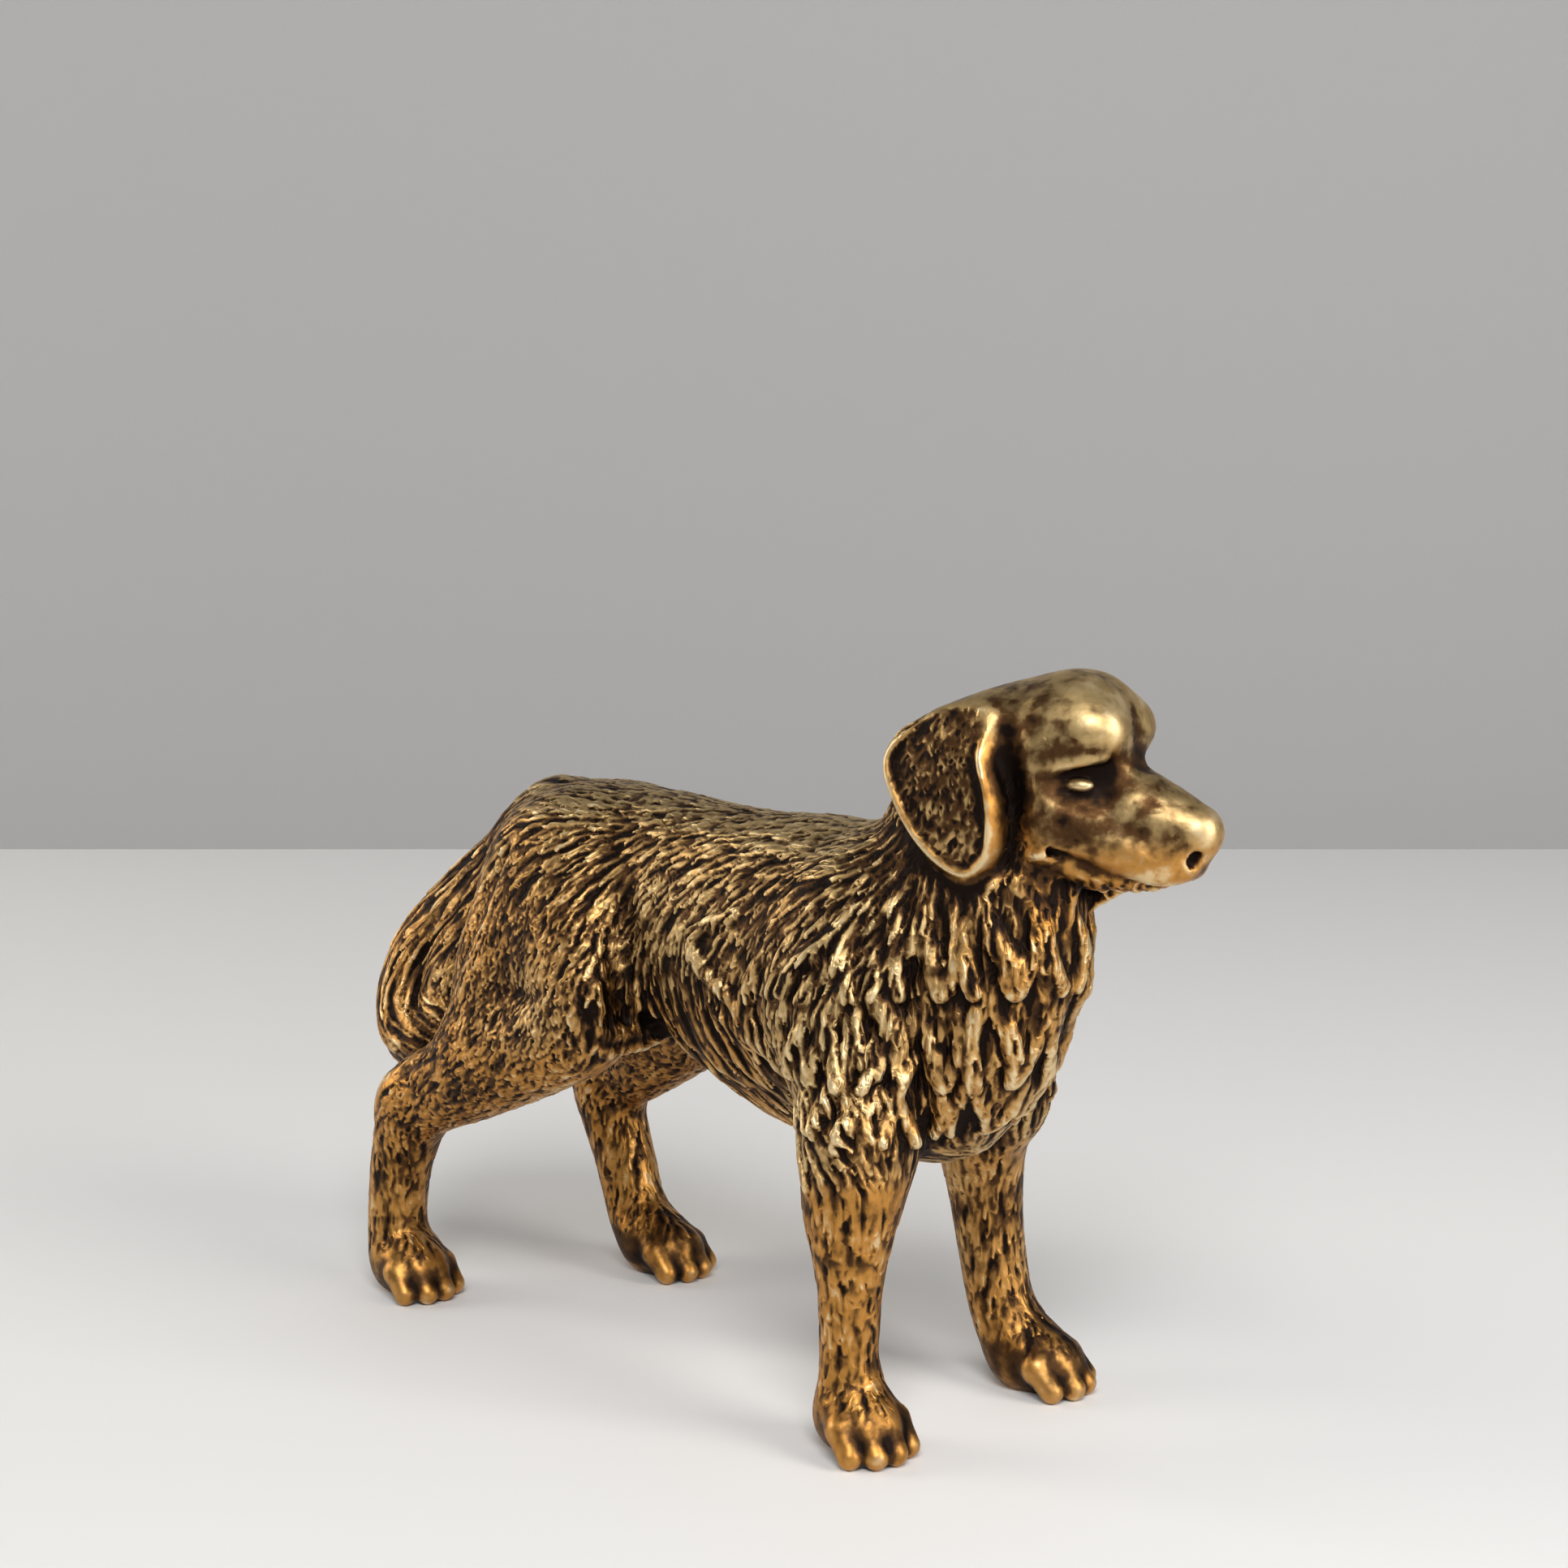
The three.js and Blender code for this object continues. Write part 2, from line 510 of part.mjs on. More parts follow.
// Rows of locks: each row is shifted along by its own amount, and each lock is a ridge that rises
// and narrows towards its tip.
function locks(across, along, width, length) {
  const row = Math.floor(across / width);
  const shift = Math.abs(Math.sin(row * 7.13) * 43.7) % 1;
  const part = along / length + shift - Math.floor(along / length + shift);
  const side = Math.abs(2 * (across / width - row) - 1);
  return Math.max(1 - side ** 2.6, 0) * (0.25 + 0.75 * part) * ramp(1, 0.88, part);
}

// How far along a line a point lies, and how far to its side, seen from the right of the dog.
function beside(line, x, z) {
  let best = { gap: 1e9, along: 0, across: 0 };
  let run = 0;
  for (let i = 1; i < line.length; i += 1) {
    const [a, b] = [line[i - 1], line[i]];
    const [ex, ez] = [b[0] - a[0], b[2] - a[2]];
    const length = Math.hypot(ex, ez);
    const t = clamp(((x - a[0]) * ex + (z - a[2]) * ez) / length ** 2, 0, 1);
    const [dx, dz] = [x - a[0] - ex * t, z - a[2] - ez * t];
    const gap = Math.hypot(dx, dz);
    if (gap < best.gap) {
      best = { gap, along: run + length * t, across: gap * Math.sign(ex * dz - ez * dx) };
    }
    run += length;
  }
  return best;
}

// Depth of the coat at a point. Hair runs back along the spine, back and down over the sides,
// forwards and down under them, along the tail's plume, and leaves the face and lower legs plain.
function coatAt(at, normal) {
  const [x, y, z] = at.map((v) => v / share);
  const sweep = x - 0.0225 * (z - 62) ** 2 + 1.1 * Math.sin(z * 0.3 + x * 0.08);
  const thighSweep = x - 0.75 * z + 1.1 * Math.sin(z * 0.4);
  const flank = locks(sweep + 90, 95 - z, lockWidth, lockLength);
  const thigh = locks(thighSweep + 190, 95 - z, lockWidth, lockLength * 0.75);
  const spine = locks(y + 61.5, 60 - x, lockWidth, lockLength);
  const { along, across } = beside(tailLine, x, z);
  const plume = locks(across + 60, along, lockWidth * 0.8, lockLength * 1.5);
  const onTail = ramp(-50, -58, x - Math.max(44 - z, 0) * 3);
  const onTrunk = ramp(40, 48, z) * ramp(104, 90, z + Math.max(x - 30, 0) * 0.35) * ramp(63, 52, x);
  const onThigh = ramp(33, 42, z) * ramp(-8, -16, x);
  const side = mix(flank, thigh, ramp(-6, -14, x) * ramp(80, 70, z));
  const body = mix(side, spine, ramp(0.6, 0.85, normal[2]) * ramp(66, 72, z));
  return unit(lockDepth) * (mix(body, plume, onTail) - 0.4) * Math.max(onTrunk, onThigh);
}

function normalsOf(points, faces) {
  const sums = points.map(() => [0, 0, 0]);
  for (const [a, b, c, d] of faces) {
    const n = cross(add(points[c], points[a], -1), add(points[d], points[b], -1));
    for (const v of [a, b, c, d]) {
      sums[v] = add(sums[v], n);
    }
  }
  return sums.map((n) => n.map((v) => v / Math.max(Math.hypot(...n), 1e-9)));
}

// Folds up the edges whose loss changes the shape least until few enough triangles are left. Each
// vertex carries the sum of squared distances to the planes round it, as ten numbers, and the
// planes of the soles weigh far more, which keeps them flat. An edge is only folded where its ends
// share two neighbours and no triangle turns over.
function thin(start, faces, wanted) {
  const points = start.map((p) => [...p]);
  const triangles = faces.map((f) => [...f]);
  const around = points.map(() => new Set());
  const sums = points.map(() => new Float64Array(10));
  const turned = points.map(() => 0);
  triangles.forEach((f, t) => {
    const n = cross(add(points[f[1]], points[f[0]], -1), add(points[f[2]], points[f[0]], -1));
    const size = Math.max(Math.hypot(...n), 1e-9);
    const plane = [n[0] / size, n[1] / size, n[2] / size, -dot(n, points[f[0]]) / size];
    const weight = f.every((v) => points[v][2] === 0) ? size * 1e5 : size;
    for (const v of f) {
      around[v].add(t);
      for (let i = 0, at = 0; i < 4; i += 1) {
        for (let j = i; j < 4; j += 1, at += 1) {
          sums[v][at] += plane[i] * plane[j] * weight;
        }
      }
    }
  });
  const costOf = (q, [x, y, z]) => q[0] * x * x + 2 * q[1] * x * y + 2 * q[2] * x * z + 2 * q[3] * x
    + q[4] * y * y + 2 * q[5] * y * z + 2 * q[6] * y + q[7] * z * z + 2 * q[8] * z + q[9];
  const bestPlace = (q, a, b) => {
    const middle = add(a, b).map((v) => v / 2);
    const pull = 0.002 * (q[0] + q[4] + q[7]);
    const m = [[q[0] + pull, q[1], q[2]], [q[1], q[4] + pull, q[5]], [q[2], q[5], q[7] + pull]];
    const r = [q[3], q[6], q[8]].map((v, n) => pull * middle[n] - v);
    const det = dot(m[0], cross(m[1], m[2]));
    const solved = [dot(r, cross(m[1], m[2])), dot(m[0], cross(r, m[2])), dot(m[0], cross(m[1], r))];
    return Math.abs(det) > 1e-12 ? solved.map((v) => v / det) : middle;
  };
  const heap = [];
  const swap = (i, j) => {
    [heap[i], heap[j]] = [heap[j], heap[i]];
  };
  const push = (a, b) => {
    const q = sums[a].map((v, n) => v + sums[b][n]);
    const place = bestPlace(q, points[a], points[b]);
    const length = Math.hypot(...add(points[a], points[b], -1));
    heap.push({ a, b, place, stamp: turned[a] + turned[b], cost: Math.max(costOf(q, place), 0) + 1e-4 * length ** 3 });
    for (let i = heap.length - 1; i > 0 && heap[(i - 1) >> 1].cost > heap[i].cost; i = (i - 1) >> 1) {
      swap(i, (i - 1) >> 1);
    }
  };
  const pop = () => {
    const first = heap[0];
    const last = heap.pop();
    if (heap.length > 0) {
      heap[0] = last;
      for (let i = 0; ;) {
        let least = i;
        for (const child of [2 * i + 1, 2 * i + 2]) {
          least = child < heap.length && heap[child].cost < heap[least].cost ? child : least;
        }
        if (least === i) {
          break;
        }
        swap(i, least);
        i = least;
      }
    }
    return first;
  };
  const neighbours = (v) => new Set([...around[v]].flatMap((t) => triangles[t]).filter((w) => w !== v));
  const wouldTurn = (v, other, place) => [...around[v]].some((t) => {
    const f = triangles[t];
    if (f.includes(other)) {
      return false;
    }
    const moved = f.map((w) => (w === v ? place : points[w]));
    const before = cross(add(points[f[1]], points[f[0]], -1), add(points[f[2]], points[f[0]], -1));
    const after = cross(add(moved[1], moved[0], -1), add(moved[2], moved[0], -1));
    const size = Math.hypot(...after);
    const longest = Math.max(...[0, 1, 2].map((n) => Math.hypot(...add(moved[n], moved[(n + 1) % 3], -1))));
    return dot(before, after) < 0.35 * size * Math.hypot(...before) || size < 0.12 * longest ** 2;
  });
  triangles.forEach((f) => f.forEach((a, n) => {
    const b = f[(n + 1) % 3];
    if (a < b) {
      push(a, b);
    }
  }));
  let left = triangles.length;
  while (left > wanted && heap.length > 0) {
    const { a, b, place, stamp } = pop();
    if (around[a].size === 0 || around[b].size === 0 || stamp !== turned[a] + turned[b]) {
      continue;
    }
    const ring = neighbours(a);
    const shared = [...neighbours(b)].filter((v) => ring.has(v));
    const joined = [...around[a]].filter((t) => around[b].has(t));
    if (shared.length !== 2 || joined.length !== 2 || wouldTurn(a, b, place) || wouldTurn(b, a, place)) {
      continue;
    }
    for (const t of joined) {
      triangles[t].forEach((v) => around[v].delete(t));
      triangles[t] = null;
    }
    for (const t of around[b]) {
      triangles[t] = triangles[t].map((v) => (v === b ? a : v));
      around[a].add(t);
    }
    around[b].clear();
    points[a] = place;
    sums[a] = sums[a].map((v, n) => v + sums[b][n]);
    turned[a] += 1;
    turned[b] += 1;
    left -= 2;
    neighbours(a).forEach((v) => push(a, v));
  }
  const kept = new Map();
  const order = (v) => {
    if (!kept.has(v)) {
      kept.set(v, kept.size);
    }
    return kept.get(v);
  };
  const corners = triangles.filter((f) => f !== null).map((f) => f.map(order));
  const flat = ([x, y, z]) => [x, y, Math.abs(z) < unit(0.05) ? 0 : z];
  return { points: [...kept.keys()].map((v) => flat(points[v])), faces: corners };
}

const grid = meshGrid(closeGaps(fillGrid()));
const skin = grid.points.map(({ at, sole, rim }) => {
  const p = sole ? [at[0], at[1], 0] : at;
  return sole && !rim ? p : toSurface(p, rim);
});
const outward = normalsOf(skin, grid.faces);
const shaped = skin.map((p, n) => {
  const depth = grid.points[n].sole ? 0 : coatAt(p, outward[n]);
  return add(p, outward[n], depth);
});
const span = (a, b) => Math.hypot(...add(shaped[a], shaped[b], -1));
const halves = grid.faces.flatMap(([a, b, c, d]) => (
  span(a, c) < span(b, d) ? [[a, b, c], [a, c, d]] : [[b, c, d], [b, d, a]]));
const thinned = thin(shaped, halves, trianglesKept);

// The middle of the underside of the bounding box is the origin.
const reach = (pick) => [0, 1, 2].map((n) => thinned.points.reduce((m, p) => pick(m, p[n]), thinned.points[0][n]));
const least = reach(Math.min);
const most = reach(Math.max);
const middle = [(least[0] + most[0]) / 2, (least[1] + most[1]) / 2, least[2]];
const positions = thinned.points.flatMap((p) => add(p, middle, -1));
const indices = thinned.faces.flat();
const geometry = new THREE.BufferGeometry();
geometry.setAttribute("position", new THREE.Float32BufferAttribute(positions, 3));
geometry.setIndex(indices);
geometry.computeVertexNormals();

const brass = new THREE.MeshStandardMaterial({ color: 0xb5813a, metalness: 1, roughness: 0.4 });
const figure = new THREE.Mesh(geometry, brass);
figure.name = "dog_figure";

const group = new THREE.Group();
group.name = "brass_dog";
group.add(figure);
export default group;
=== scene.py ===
import math
import time
import bpy
import mathutils
import numpy as np
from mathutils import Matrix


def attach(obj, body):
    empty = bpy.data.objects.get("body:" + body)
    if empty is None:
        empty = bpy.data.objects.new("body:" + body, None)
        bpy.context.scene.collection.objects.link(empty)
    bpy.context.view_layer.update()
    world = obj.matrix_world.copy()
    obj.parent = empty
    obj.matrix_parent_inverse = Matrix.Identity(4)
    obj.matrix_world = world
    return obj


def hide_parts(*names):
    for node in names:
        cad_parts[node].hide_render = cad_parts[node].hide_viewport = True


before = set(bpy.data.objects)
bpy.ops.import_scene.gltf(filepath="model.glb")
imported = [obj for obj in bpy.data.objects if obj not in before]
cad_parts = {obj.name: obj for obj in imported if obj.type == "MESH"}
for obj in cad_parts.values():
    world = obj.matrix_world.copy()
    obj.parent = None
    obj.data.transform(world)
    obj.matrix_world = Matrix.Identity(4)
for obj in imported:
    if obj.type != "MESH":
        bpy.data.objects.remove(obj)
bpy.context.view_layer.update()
started = time.time()

# Lengths of the figure are in shares of its height: sharesHigh of them reach the top of the head.
# Middle is where the origin lies between the paws. Cell is the spacing of the grid.
figure = dict(height=0.120, sharesHigh=120.3, middle=(4.67, -0.34), cell=0.5, triangles=196000,
              legRight=-20.3, legLeft=19.6, headTurn=12.0, headCentre=(62.6, 3.7, 108.0),
              toeSpread=3.05, toeRadius=2.5)
# Each ear is a curved sheet: how far out it hangs, half its thickness, how high its rim stands,
# how far in and how wide the rim is, how far the sheet reaches inwards, and how round its edge is.
ear = dict(hang=12.9, least=7, half=1.3, rim=1.1, rimIn=1.15, rimWide=0.85, reach=2.5, rounding=1.6)
# Tiers of free locks stand round a middle between two heights. Angles are from straight ahead.
maneTiers = [dict(middle=(50, 1), top=88, end=71.5, arc=(-118, 118), locks=20, radius=1.75, out=1.2),
             dict(middle=(48, 0), top=76, end=58.5, arc=(-112, 112), locks=18, radius=1.75, out=0.9),
             dict(middle=(46, 0), top=62, end=50, arc=(-80, 80), locks=12, radius=1.6, out=0.4)]
armTiers = [dict(middle=(40, 8), top=79, end=60.5, arc=(34, 160), locks=12, radius=1.6, out=0.8),
            dict(middle=(43, 13), top=63, end=49, arc=(15, 168), locks=10, radius=1.5, out=0.5)]
fringe = dict(first=-15, apart=3.4, strands=14, top=64, end=45, forwards=13, radius=1.2)
farOut = 45  # free locks start this far out and move in until they meet the skin
# The hair of each region: width, length and depth of a lock, how light its metal is made, and how warm it is.
# The lightness is partly rubbed bare metal and partly painted light and shade: painted shade under the belly,
# painted light on the face. The warmth is partly the metal's own tone and partly a painted warm reflection
# from below on the lower parts.
coat = dict(
    flank=(1.4, 7.5, 0.58, -0.04, 0.35),
    back=(1.2, 5.5, 0.42, 0.10, 0.10),
    belly=(1.9, 17.0, 0.95, -0.20, 0.65),
    shoulder=(1.4, 8.0, 0.60, -0.08, 0.30),
    neck=(1.4, 8.0, 0.60, -0.10, 0.30),
    mane=(1.3, 9.0, 0.48, -0.04, 0.50),
    thigh=(1.2, 4.2, 0.48, -0.04, 0.50),
    gaskin=(1.1, 4.4, 0.36, 0.02, 0.85),
    leg=(1.2, 6.5, 0.22, 0.00, 0.80),
    tail=(1.7, 18.0, 0.75, -0.18, 0.60),
    face=(0.9, 3.4, 0.07, 0.20, 0.15),
    ear=(0.9, 3.4, 0.28, -0.22, 0.30),
    rim=(1.5, 6.0, 0.0, 0.32, 0.75),
    cheek=(0.9, 4.5, 0.26, -0.06, 0.75))
# Places on the head made lighter (above nought) or darker: forwards, to the side, upwards, reach, amount.
# The brow and nose tip are partly rubbed bare and partly a painted highlight, the lower jaw gets a painted
# reflection of the floor, and the dark places in the eye sockets and before the ears are painted shade;
# the cheeks and the lip under the mouth are made darker.
rubbedAndPaintedLight = [(14, 4, 8, 5.5, 0.45), (29, 0, -9, 4, 0.35), (20, 5, -17.5, 4, 0.35),
          (4.5, 9.5, -14.5, 1.8, 0.35), (9, 9, -9.5, 4.5, -0.60), (0.5, 11.5, -4, 3.6, -0.60),
          (14.5, 6.5, -2, 2.8, -0.45), (2.5, 10, 4, 3.5, -0.35), (12, 8, -18, 1.6, -0.50)]
# Overlap is how many locks lie over each point, cover the share of its box that a lock fills,
# waver how far each one snakes, steps the pieces of its path and tip where its blunt end starts.
# A lock is at most tallest times its region's depth high, and the skin is sunk by a share of it.
hair = dict(seed=11, overlap=2.4, cover=0.62, waver=0.50, steps=6, tip=0.62, tipLong=0.4,
            vary=0.28, swing=0.2, tallest=1.3, sunk=0.45)
# Mottle and blotch break up the wear and painted light, tint the warmth and grain the shine: scale, detail, amount.
# The pairs that start with "to" are the wear at which one tone begins and ends to turn into the next.
# Glint is a painted highlight, the palest tone, on the highest ridges and the brightest places.
brass = dict(dark=(0.014, 0.009, 0.007), brown=(0.085, 0.041, 0.016), pale=(0.50, 0.35, 0.155),
             warm=(0.50, 0.24, 0.055), glint=(0.74, 0.57, 0.32), rough=0.45, darkRough=0.55,
             ridge=0.95, hollow=-3.0, valley=-1.0, worn=0.36, mottle=(330, 4, 1.35),
             blotch=(60, 3, 0.9), tint=(38, 2, 1.2), grain=(1100, 2, 0.5), strands=9.0,
             toBrown=(0.05, 0.50), toGold=(0.44, 0.98), toGlint=(0.95, 1.45), toSmooth=(0.3, 0.7),
             toWarm=(0.1, 0.9), bump=0.5, bumpDeep=0.00012)
# Eye is the camera's place in shares and ahead the way it faces on the floor. The rest is in metres.
room = dict(floor=(0.78, 0.78, 0.78), wall=(0.36, 0.36, 0.365), rough=0.6, floorFrom=-1.5, wallAt=0.55,
            wallHigh=1.6, halfWide=2.5, lens=62.6, sensor=36, nearest=0.01, eye=(322.638, -315.369, 157.0),
            pitch=7.561, ahead=(-0.7019, 0.7123), sky=(0.80, 0.82, 0.85), skyPower=0.30)
lamps = [dict(name="window", place=(0.55, -0.55, 0.80), target=(0, 0, 0.06), size=(0.45, 0.45),
              power=8, colour=(1, 1, 1)),
         dict(name="left", place=(-0.80, -0.55, 0.45), target=(0, 0, 0.06), size=(0.5, 0.6),
              power=4, colour=(1, 0.93, 0.82)),
         dict(name="right", place=(0.80, 0.15, 0.40), target=(0, 0, 0.07), size=(0.4, 0.6),
              power=5, colour=(1, 0.96, 0.9))]


def say(text):
    print(f"{time.time() - started:6.1f} s  {text}", flush=True)


def ramp(edge0, edge1, v):
    t = np.clip((v - edge0) / (edge1 - edge0), 0, 1)
    return t * t * (3 - 2 * t)


def unitVectors(v):
    return v / np.maximum(np.linalg.norm(v, axis=-1, keepdims=True), 1e-9)


# Smallest of two distances, rounded off over the width k where they meet.
def blendMin(a, b, k):
    h = np.maximum(k - np.abs(a - b), 0) / k
    return np.minimum(a, b) - h * h * (k / 4)


# A smooth curve through stations of x, y, z and radius.
def throughStations(stations, steps):
    s = np.array(stations, float)
    if steps == 1:
        return s
    s = np.vstack([2 * s[0] - s[1], s, 2 * s[-1] - s[-2]])
    out = []
    for a, b, c, d in zip(s[:-3], s[1:-2], s[2:-1], s[3:]):
        for t in np.arange(steps) / steps:
            square = (2 * a - 5 * b + 4 * c - d) * t ** 2
            cube = (3 * b - a - 3 * c + d) * t ** 3
            out.append(0.5 * (2 * b + (c - a) * t + square + cube))
    return np.array(out + [s[-2]])


# Distance to a run of tapered pieces, flattened by squash across the side direction.
def tubeDistance(p, line, squash, side, inner):
    d = None
    for a, b in zip(line[:-1], line[1:]):
        axis = (b - a)[:3].astype(np.float32)
        w = p - a[:3].astype(np.float32)
        t = np.clip(w @ axis / max(float(axis @ axis), 1e-9), 0, 1)
        q = w - t[:, None] * axis
        r = a[3] + (b[3] - a[3]) * t
        square = np.einsum("ij,ij->i", q, q)
        if squash == 1:
            e = np.sqrt(square) - r
        else:
            across = q @ side
            rest = np.maximum(square - across ** 2, 0)
            k0 = np.sqrt(rest + (across / squash) ** 2) / r
            k1 = np.sqrt(rest + (across / squash ** 2) ** 2) / r ** 2
            e = k0 * (k0 - 1) / np.maximum(k1, 1e-6)
        d = e if d is None else blendMin(d, e, inner)
    return d


def ovalDistance(p, centre, radii, axes):
    v = (p - centre) @ axes.T
    k0 = np.sqrt(((v / radii) ** 2).sum(1))
    k1 = np.sqrt(((v / radii ** 2) ** 2).sum(1))
    return k0 * (k0 - 1) / np.maximum(k1, 1e-6)


masses = []


def addMass(distance, low, high, blend, cut=False):
    masses.append((distance, np.array(low) - 5 - blend, np.array(high) + 5 + blend, blend, cut))


def addTube(stations, squash=1.0, blend=4.0, side=(0, 1, 0), steps=4, inner=0.6, cut=False):
    line = throughStations(stations, steps)
    low = (line[:, :3] - line[:, 3:]).min(0)
    high = (line[:, :3] + line[:, 3:]).max(0)
    across = np.array(side, np.float32)
    addMass(lambda p: tubeDistance(p, line, squash, across, inner), low, high, blend, cut)


def addOval(centre, radii, blend, axes=((1, 0, 0), (0, 1, 0), (0, 0, 1)), cut=False):
    c, r, a = (np.array(v, np.float32) for v in (centre, radii, axes))
    addMass(lambda p: ovalDistance(p, c, r, a), c - r.max(), c + r.max(), blend, cut)


turn = math.radians(figure["headTurn"])
forward = np.array([math.cos(turn), math.sin(turn), 0])
leftward = np.array([-math.sin(turn), math.cos(turn), 0])
headAxes = np.array([forward, leftward, [0, 0, 1]])
headCentre = np.array(figure["headCentre"])


# A place given forwards, to the left and upwards from the middle of the head.
def onHead(f, l, u):
    return headCentre + forward * f + leftward * l + np.array([0, 0, u])


def headTube(stations, both=False, **options):
    for s in ((-1, 1) if both else (1,)):
        line = [(*onHead(f, l * s, u), r) for f, l, u, r in stations]
        addTube(line, **{"steps": 3, "inner": 0.4, "side": leftward, **options})


def headOval(place, radii, blend, cut=False, toe=0.0):
    f, l, u = place
    for s in ((1,) if l == 0 else (-1, 1)):
        a = turn + math.radians(toe) * s
        axes = [[math.cos(a), math.sin(a), 0], [-math.sin(a), math.cos(a), 0], [0, 0, 1]]
        addOval(onHead(f, l * s, u), radii, blend, axes, cut)


maneLine = [(60, 3, 95, 8.6), (60, 2, 85, 10.6), (58.3, 1, 73, 11.2), (53.5, 0, 61, 10.8), (48.5, 0, 53.5, 10.4)]
tailLine = [(-44, 0, 86, 8.2), (-53.6, -1, 78.8, 7.5), (-63.8, -3, 69.8, 7.6), (-72, -5.5, 61, 7.9),
            (-74.4, -8.5, 53, 7.9), (-71.5, -11.5, 47, 7.2), (-66, -13.5, 44.8, 6)]
earLeaf = np.array([(-4, 8), (-1.8, 5.4), (-2.2, 0), (-0.2, -4.6), (0.4, -10.5), (-0.8, -16.2), (-5.2, -20),
                    (-10.2, -18.2), (-14.6, -14), (-18.2, -8.6), (-21.4, -2.6), (-19.8, 2), (-14, 6), (-8, 8)])
for again in range(2):
    after = np.roll(earLeaf, -1, axis=0)
    earLeaf = np.stack([0.75 * earLeaf + 0.25 * after, 0.25 * earLeaf + 0.75 * after], 1).reshape(-1, 2)


def addTrunk():
    addTube([(50, 0, 64, 12.6), (42, 0, 67.5, 20.2), (28, 0, 69.6, 24), (10, 0, 70.3, 22.9), (-4, 0, 73.4, 20.1),
             (-16, 0, 76.1, 18.3), (-28, 0, 77.6, 16.8), (-38, 0, 78, 16), (-46, 0, 79, 12.4)], squash=0.74)
    addTube([(-5, 0, 59, 6), (5, 0, 54, 7), (16, 0, 50.5, 7.6), (28, 0, 49.5, 8.5), (42, 0, 51, 9)], blend=5)
    for s in (-1, 1):
        addOval((-34, s * 7, 76), (14, 9.5, 15), 6)
        addOval((36, s * 10.5, 72), (12, 9, 16), 7)
        addTube([(38, s * 12, 66, 10), (42.5, s * 14.5, 56, 9), (44.5, s * 16.5, 49, 8.2)], blend=6, steps=3)
    addTube([(43, 0, 78, 16.6), (48.5, 0.5, 86, 13.9), (55, 2, 96, 11.4), (59.5, 3, 104, 11)],
            squash=0.92, blend=7, steps=3)
    addTube(maneLine, blend=6, steps=3)


# Fore legs, then each thigh with its hind leg, then the grooves between the thighs and the flanks.
def addLegs():
    r, l = figure["legRight"], figure["legLeft"]
    addTube([(45.3, r + 2.8, 46, 8.6), (45.4, r + 1.1, 38, 7.4), (45.9, r + 0.3, 31.3, 5.8),
             (46.1, r, 26.2, 4.9), (46, r, 20, 4.5), (45.9, r, 14.5, 4.3), (46.4, r, 10, 4.8),
             (47.2, r, 6, 5.3)], blend=3)
    addTube([(41.5, l - 3.6, 46, 7.8), (39.8, l - 1.4, 38, 6.7), (39.9, l - 0.6, 31, 5.8),
             (40.8, l - 0.6, 25, 5.4), (41.8, l - 0.4, 18.5, 5.2), (43.2, l, 12.5, 5.2),
             (45.6, l + 0.7, 8, 5.7), (47.6, l + 1, 5.8, 5.5)], blend=3)
    addTube([(-30, -8, 79, 12.8), (-24, -13, 68, 12.9), (-18, -17.3, 59, 9.7), (-26, -18.6, 52.5, 8.7),
             (-42, -19.6, 45, 8.3), (-54, -20.2, 39.5, 7.5), (-61.5, -20.5, 35, 6.4)], squash=0.82, blend=6)
    addTube([(-36, -9, 77, 12.3), (-39, -13.5, 64, 12.2), (-43, -17, 52, 9.3)], squash=0.8, blend=6, steps=3)
    addTube([(-61, -20.5, 36.5, 6.2), (-63.4, -20.5, 30, 5.8), (-65.5, -20.5, 23.9, 5.3),
             (-66.6, -20.5, 18, 5.1), (-67, -20.5, 12.5, 5.1), (-66, -20.5, 8, 5.5), (-64, -20.5, 6, 5.7)], blend=3)
    addTube([(-30, 8, 79, 12.8), (-26, 12.5, 67, 12.3), (-22.5, 15.6, 56, 10), (-29, 17.2, 49.5, 8.8),
             (-41, 18.8, 42, 8), (-50, 19.8, 36.5, 7), (-54.5, 20, 33.5, 6.4)], squash=0.82, blend=6)
    addTube([(-36, 9, 77, 12.3), (-40, 13, 64, 11.8), (-42, 16, 51, 8.8)], squash=0.8, blend=6, steps=3)
    addTube([(-54.3, 20, 34, 6.4), (-52.8, 20, 27, 5.8), (-50.7, 20, 21.9, 5.4), (-49.1, 20, 17.5, 5.3),
             (-47.4, 20, 12.5, 5.3), (-44.5, 19.8, 8, 5.7), (-41.5, 19.6, 6, 5.7)], blend=3)
    addTube([(-11, -14.8, 83, 0.8), (-10.5, -16, 77, 1.7), (-9.7, -17, 72, 2), (-8.7, -18, 66, 2),
             (-9, -17.4, 59, 1.2)], blend=2.5, cut=True, steps=2)
    addTube([(-13, 14.8, 83, 0.8), (-12.8, 16, 77, 1.7), (-12.4, 16.8, 72, 2), (-12, 17.4, 66, 2),
             (-12.5, 16.4, 59, 1.2)], blend=2.5, cut=True, steps=2)


# A pad and four toes for each paw, turned a little out or in.
def addPaws():
    for (x, y), degrees in (((49.5, -20.9), -16), ((51.2, 20.7), 8), ((-61.4, -20.9), -6), ((-37.6, 19.7), 2)):
        c, s = math.cos(math.radians(degrees)), math.sin(math.radians(degrees))
        place = lambda f, l, z, r: (x + c * f - s * l, y + s * f + c * l, z, r)
        addTube([place(-3.5, 0, 5, 5.6), place(1.5, 0, 4.6, 5.2)], blend=3, steps=1)
        for n in (-1.5, -0.5, 0.5, 1.5):
            off, reach, r = n * figure["toeSpread"], 6.6 - abs(n) * 2, figure["toeRadius"]
            addTube([place(-1.5, off * 0.7, 7, r), place(reach - 2.2, off, 5, r),
                     place(reach + 1, off * 1.12, 2, r * 0.8)], blend=1, steps=1, inner=0.8)


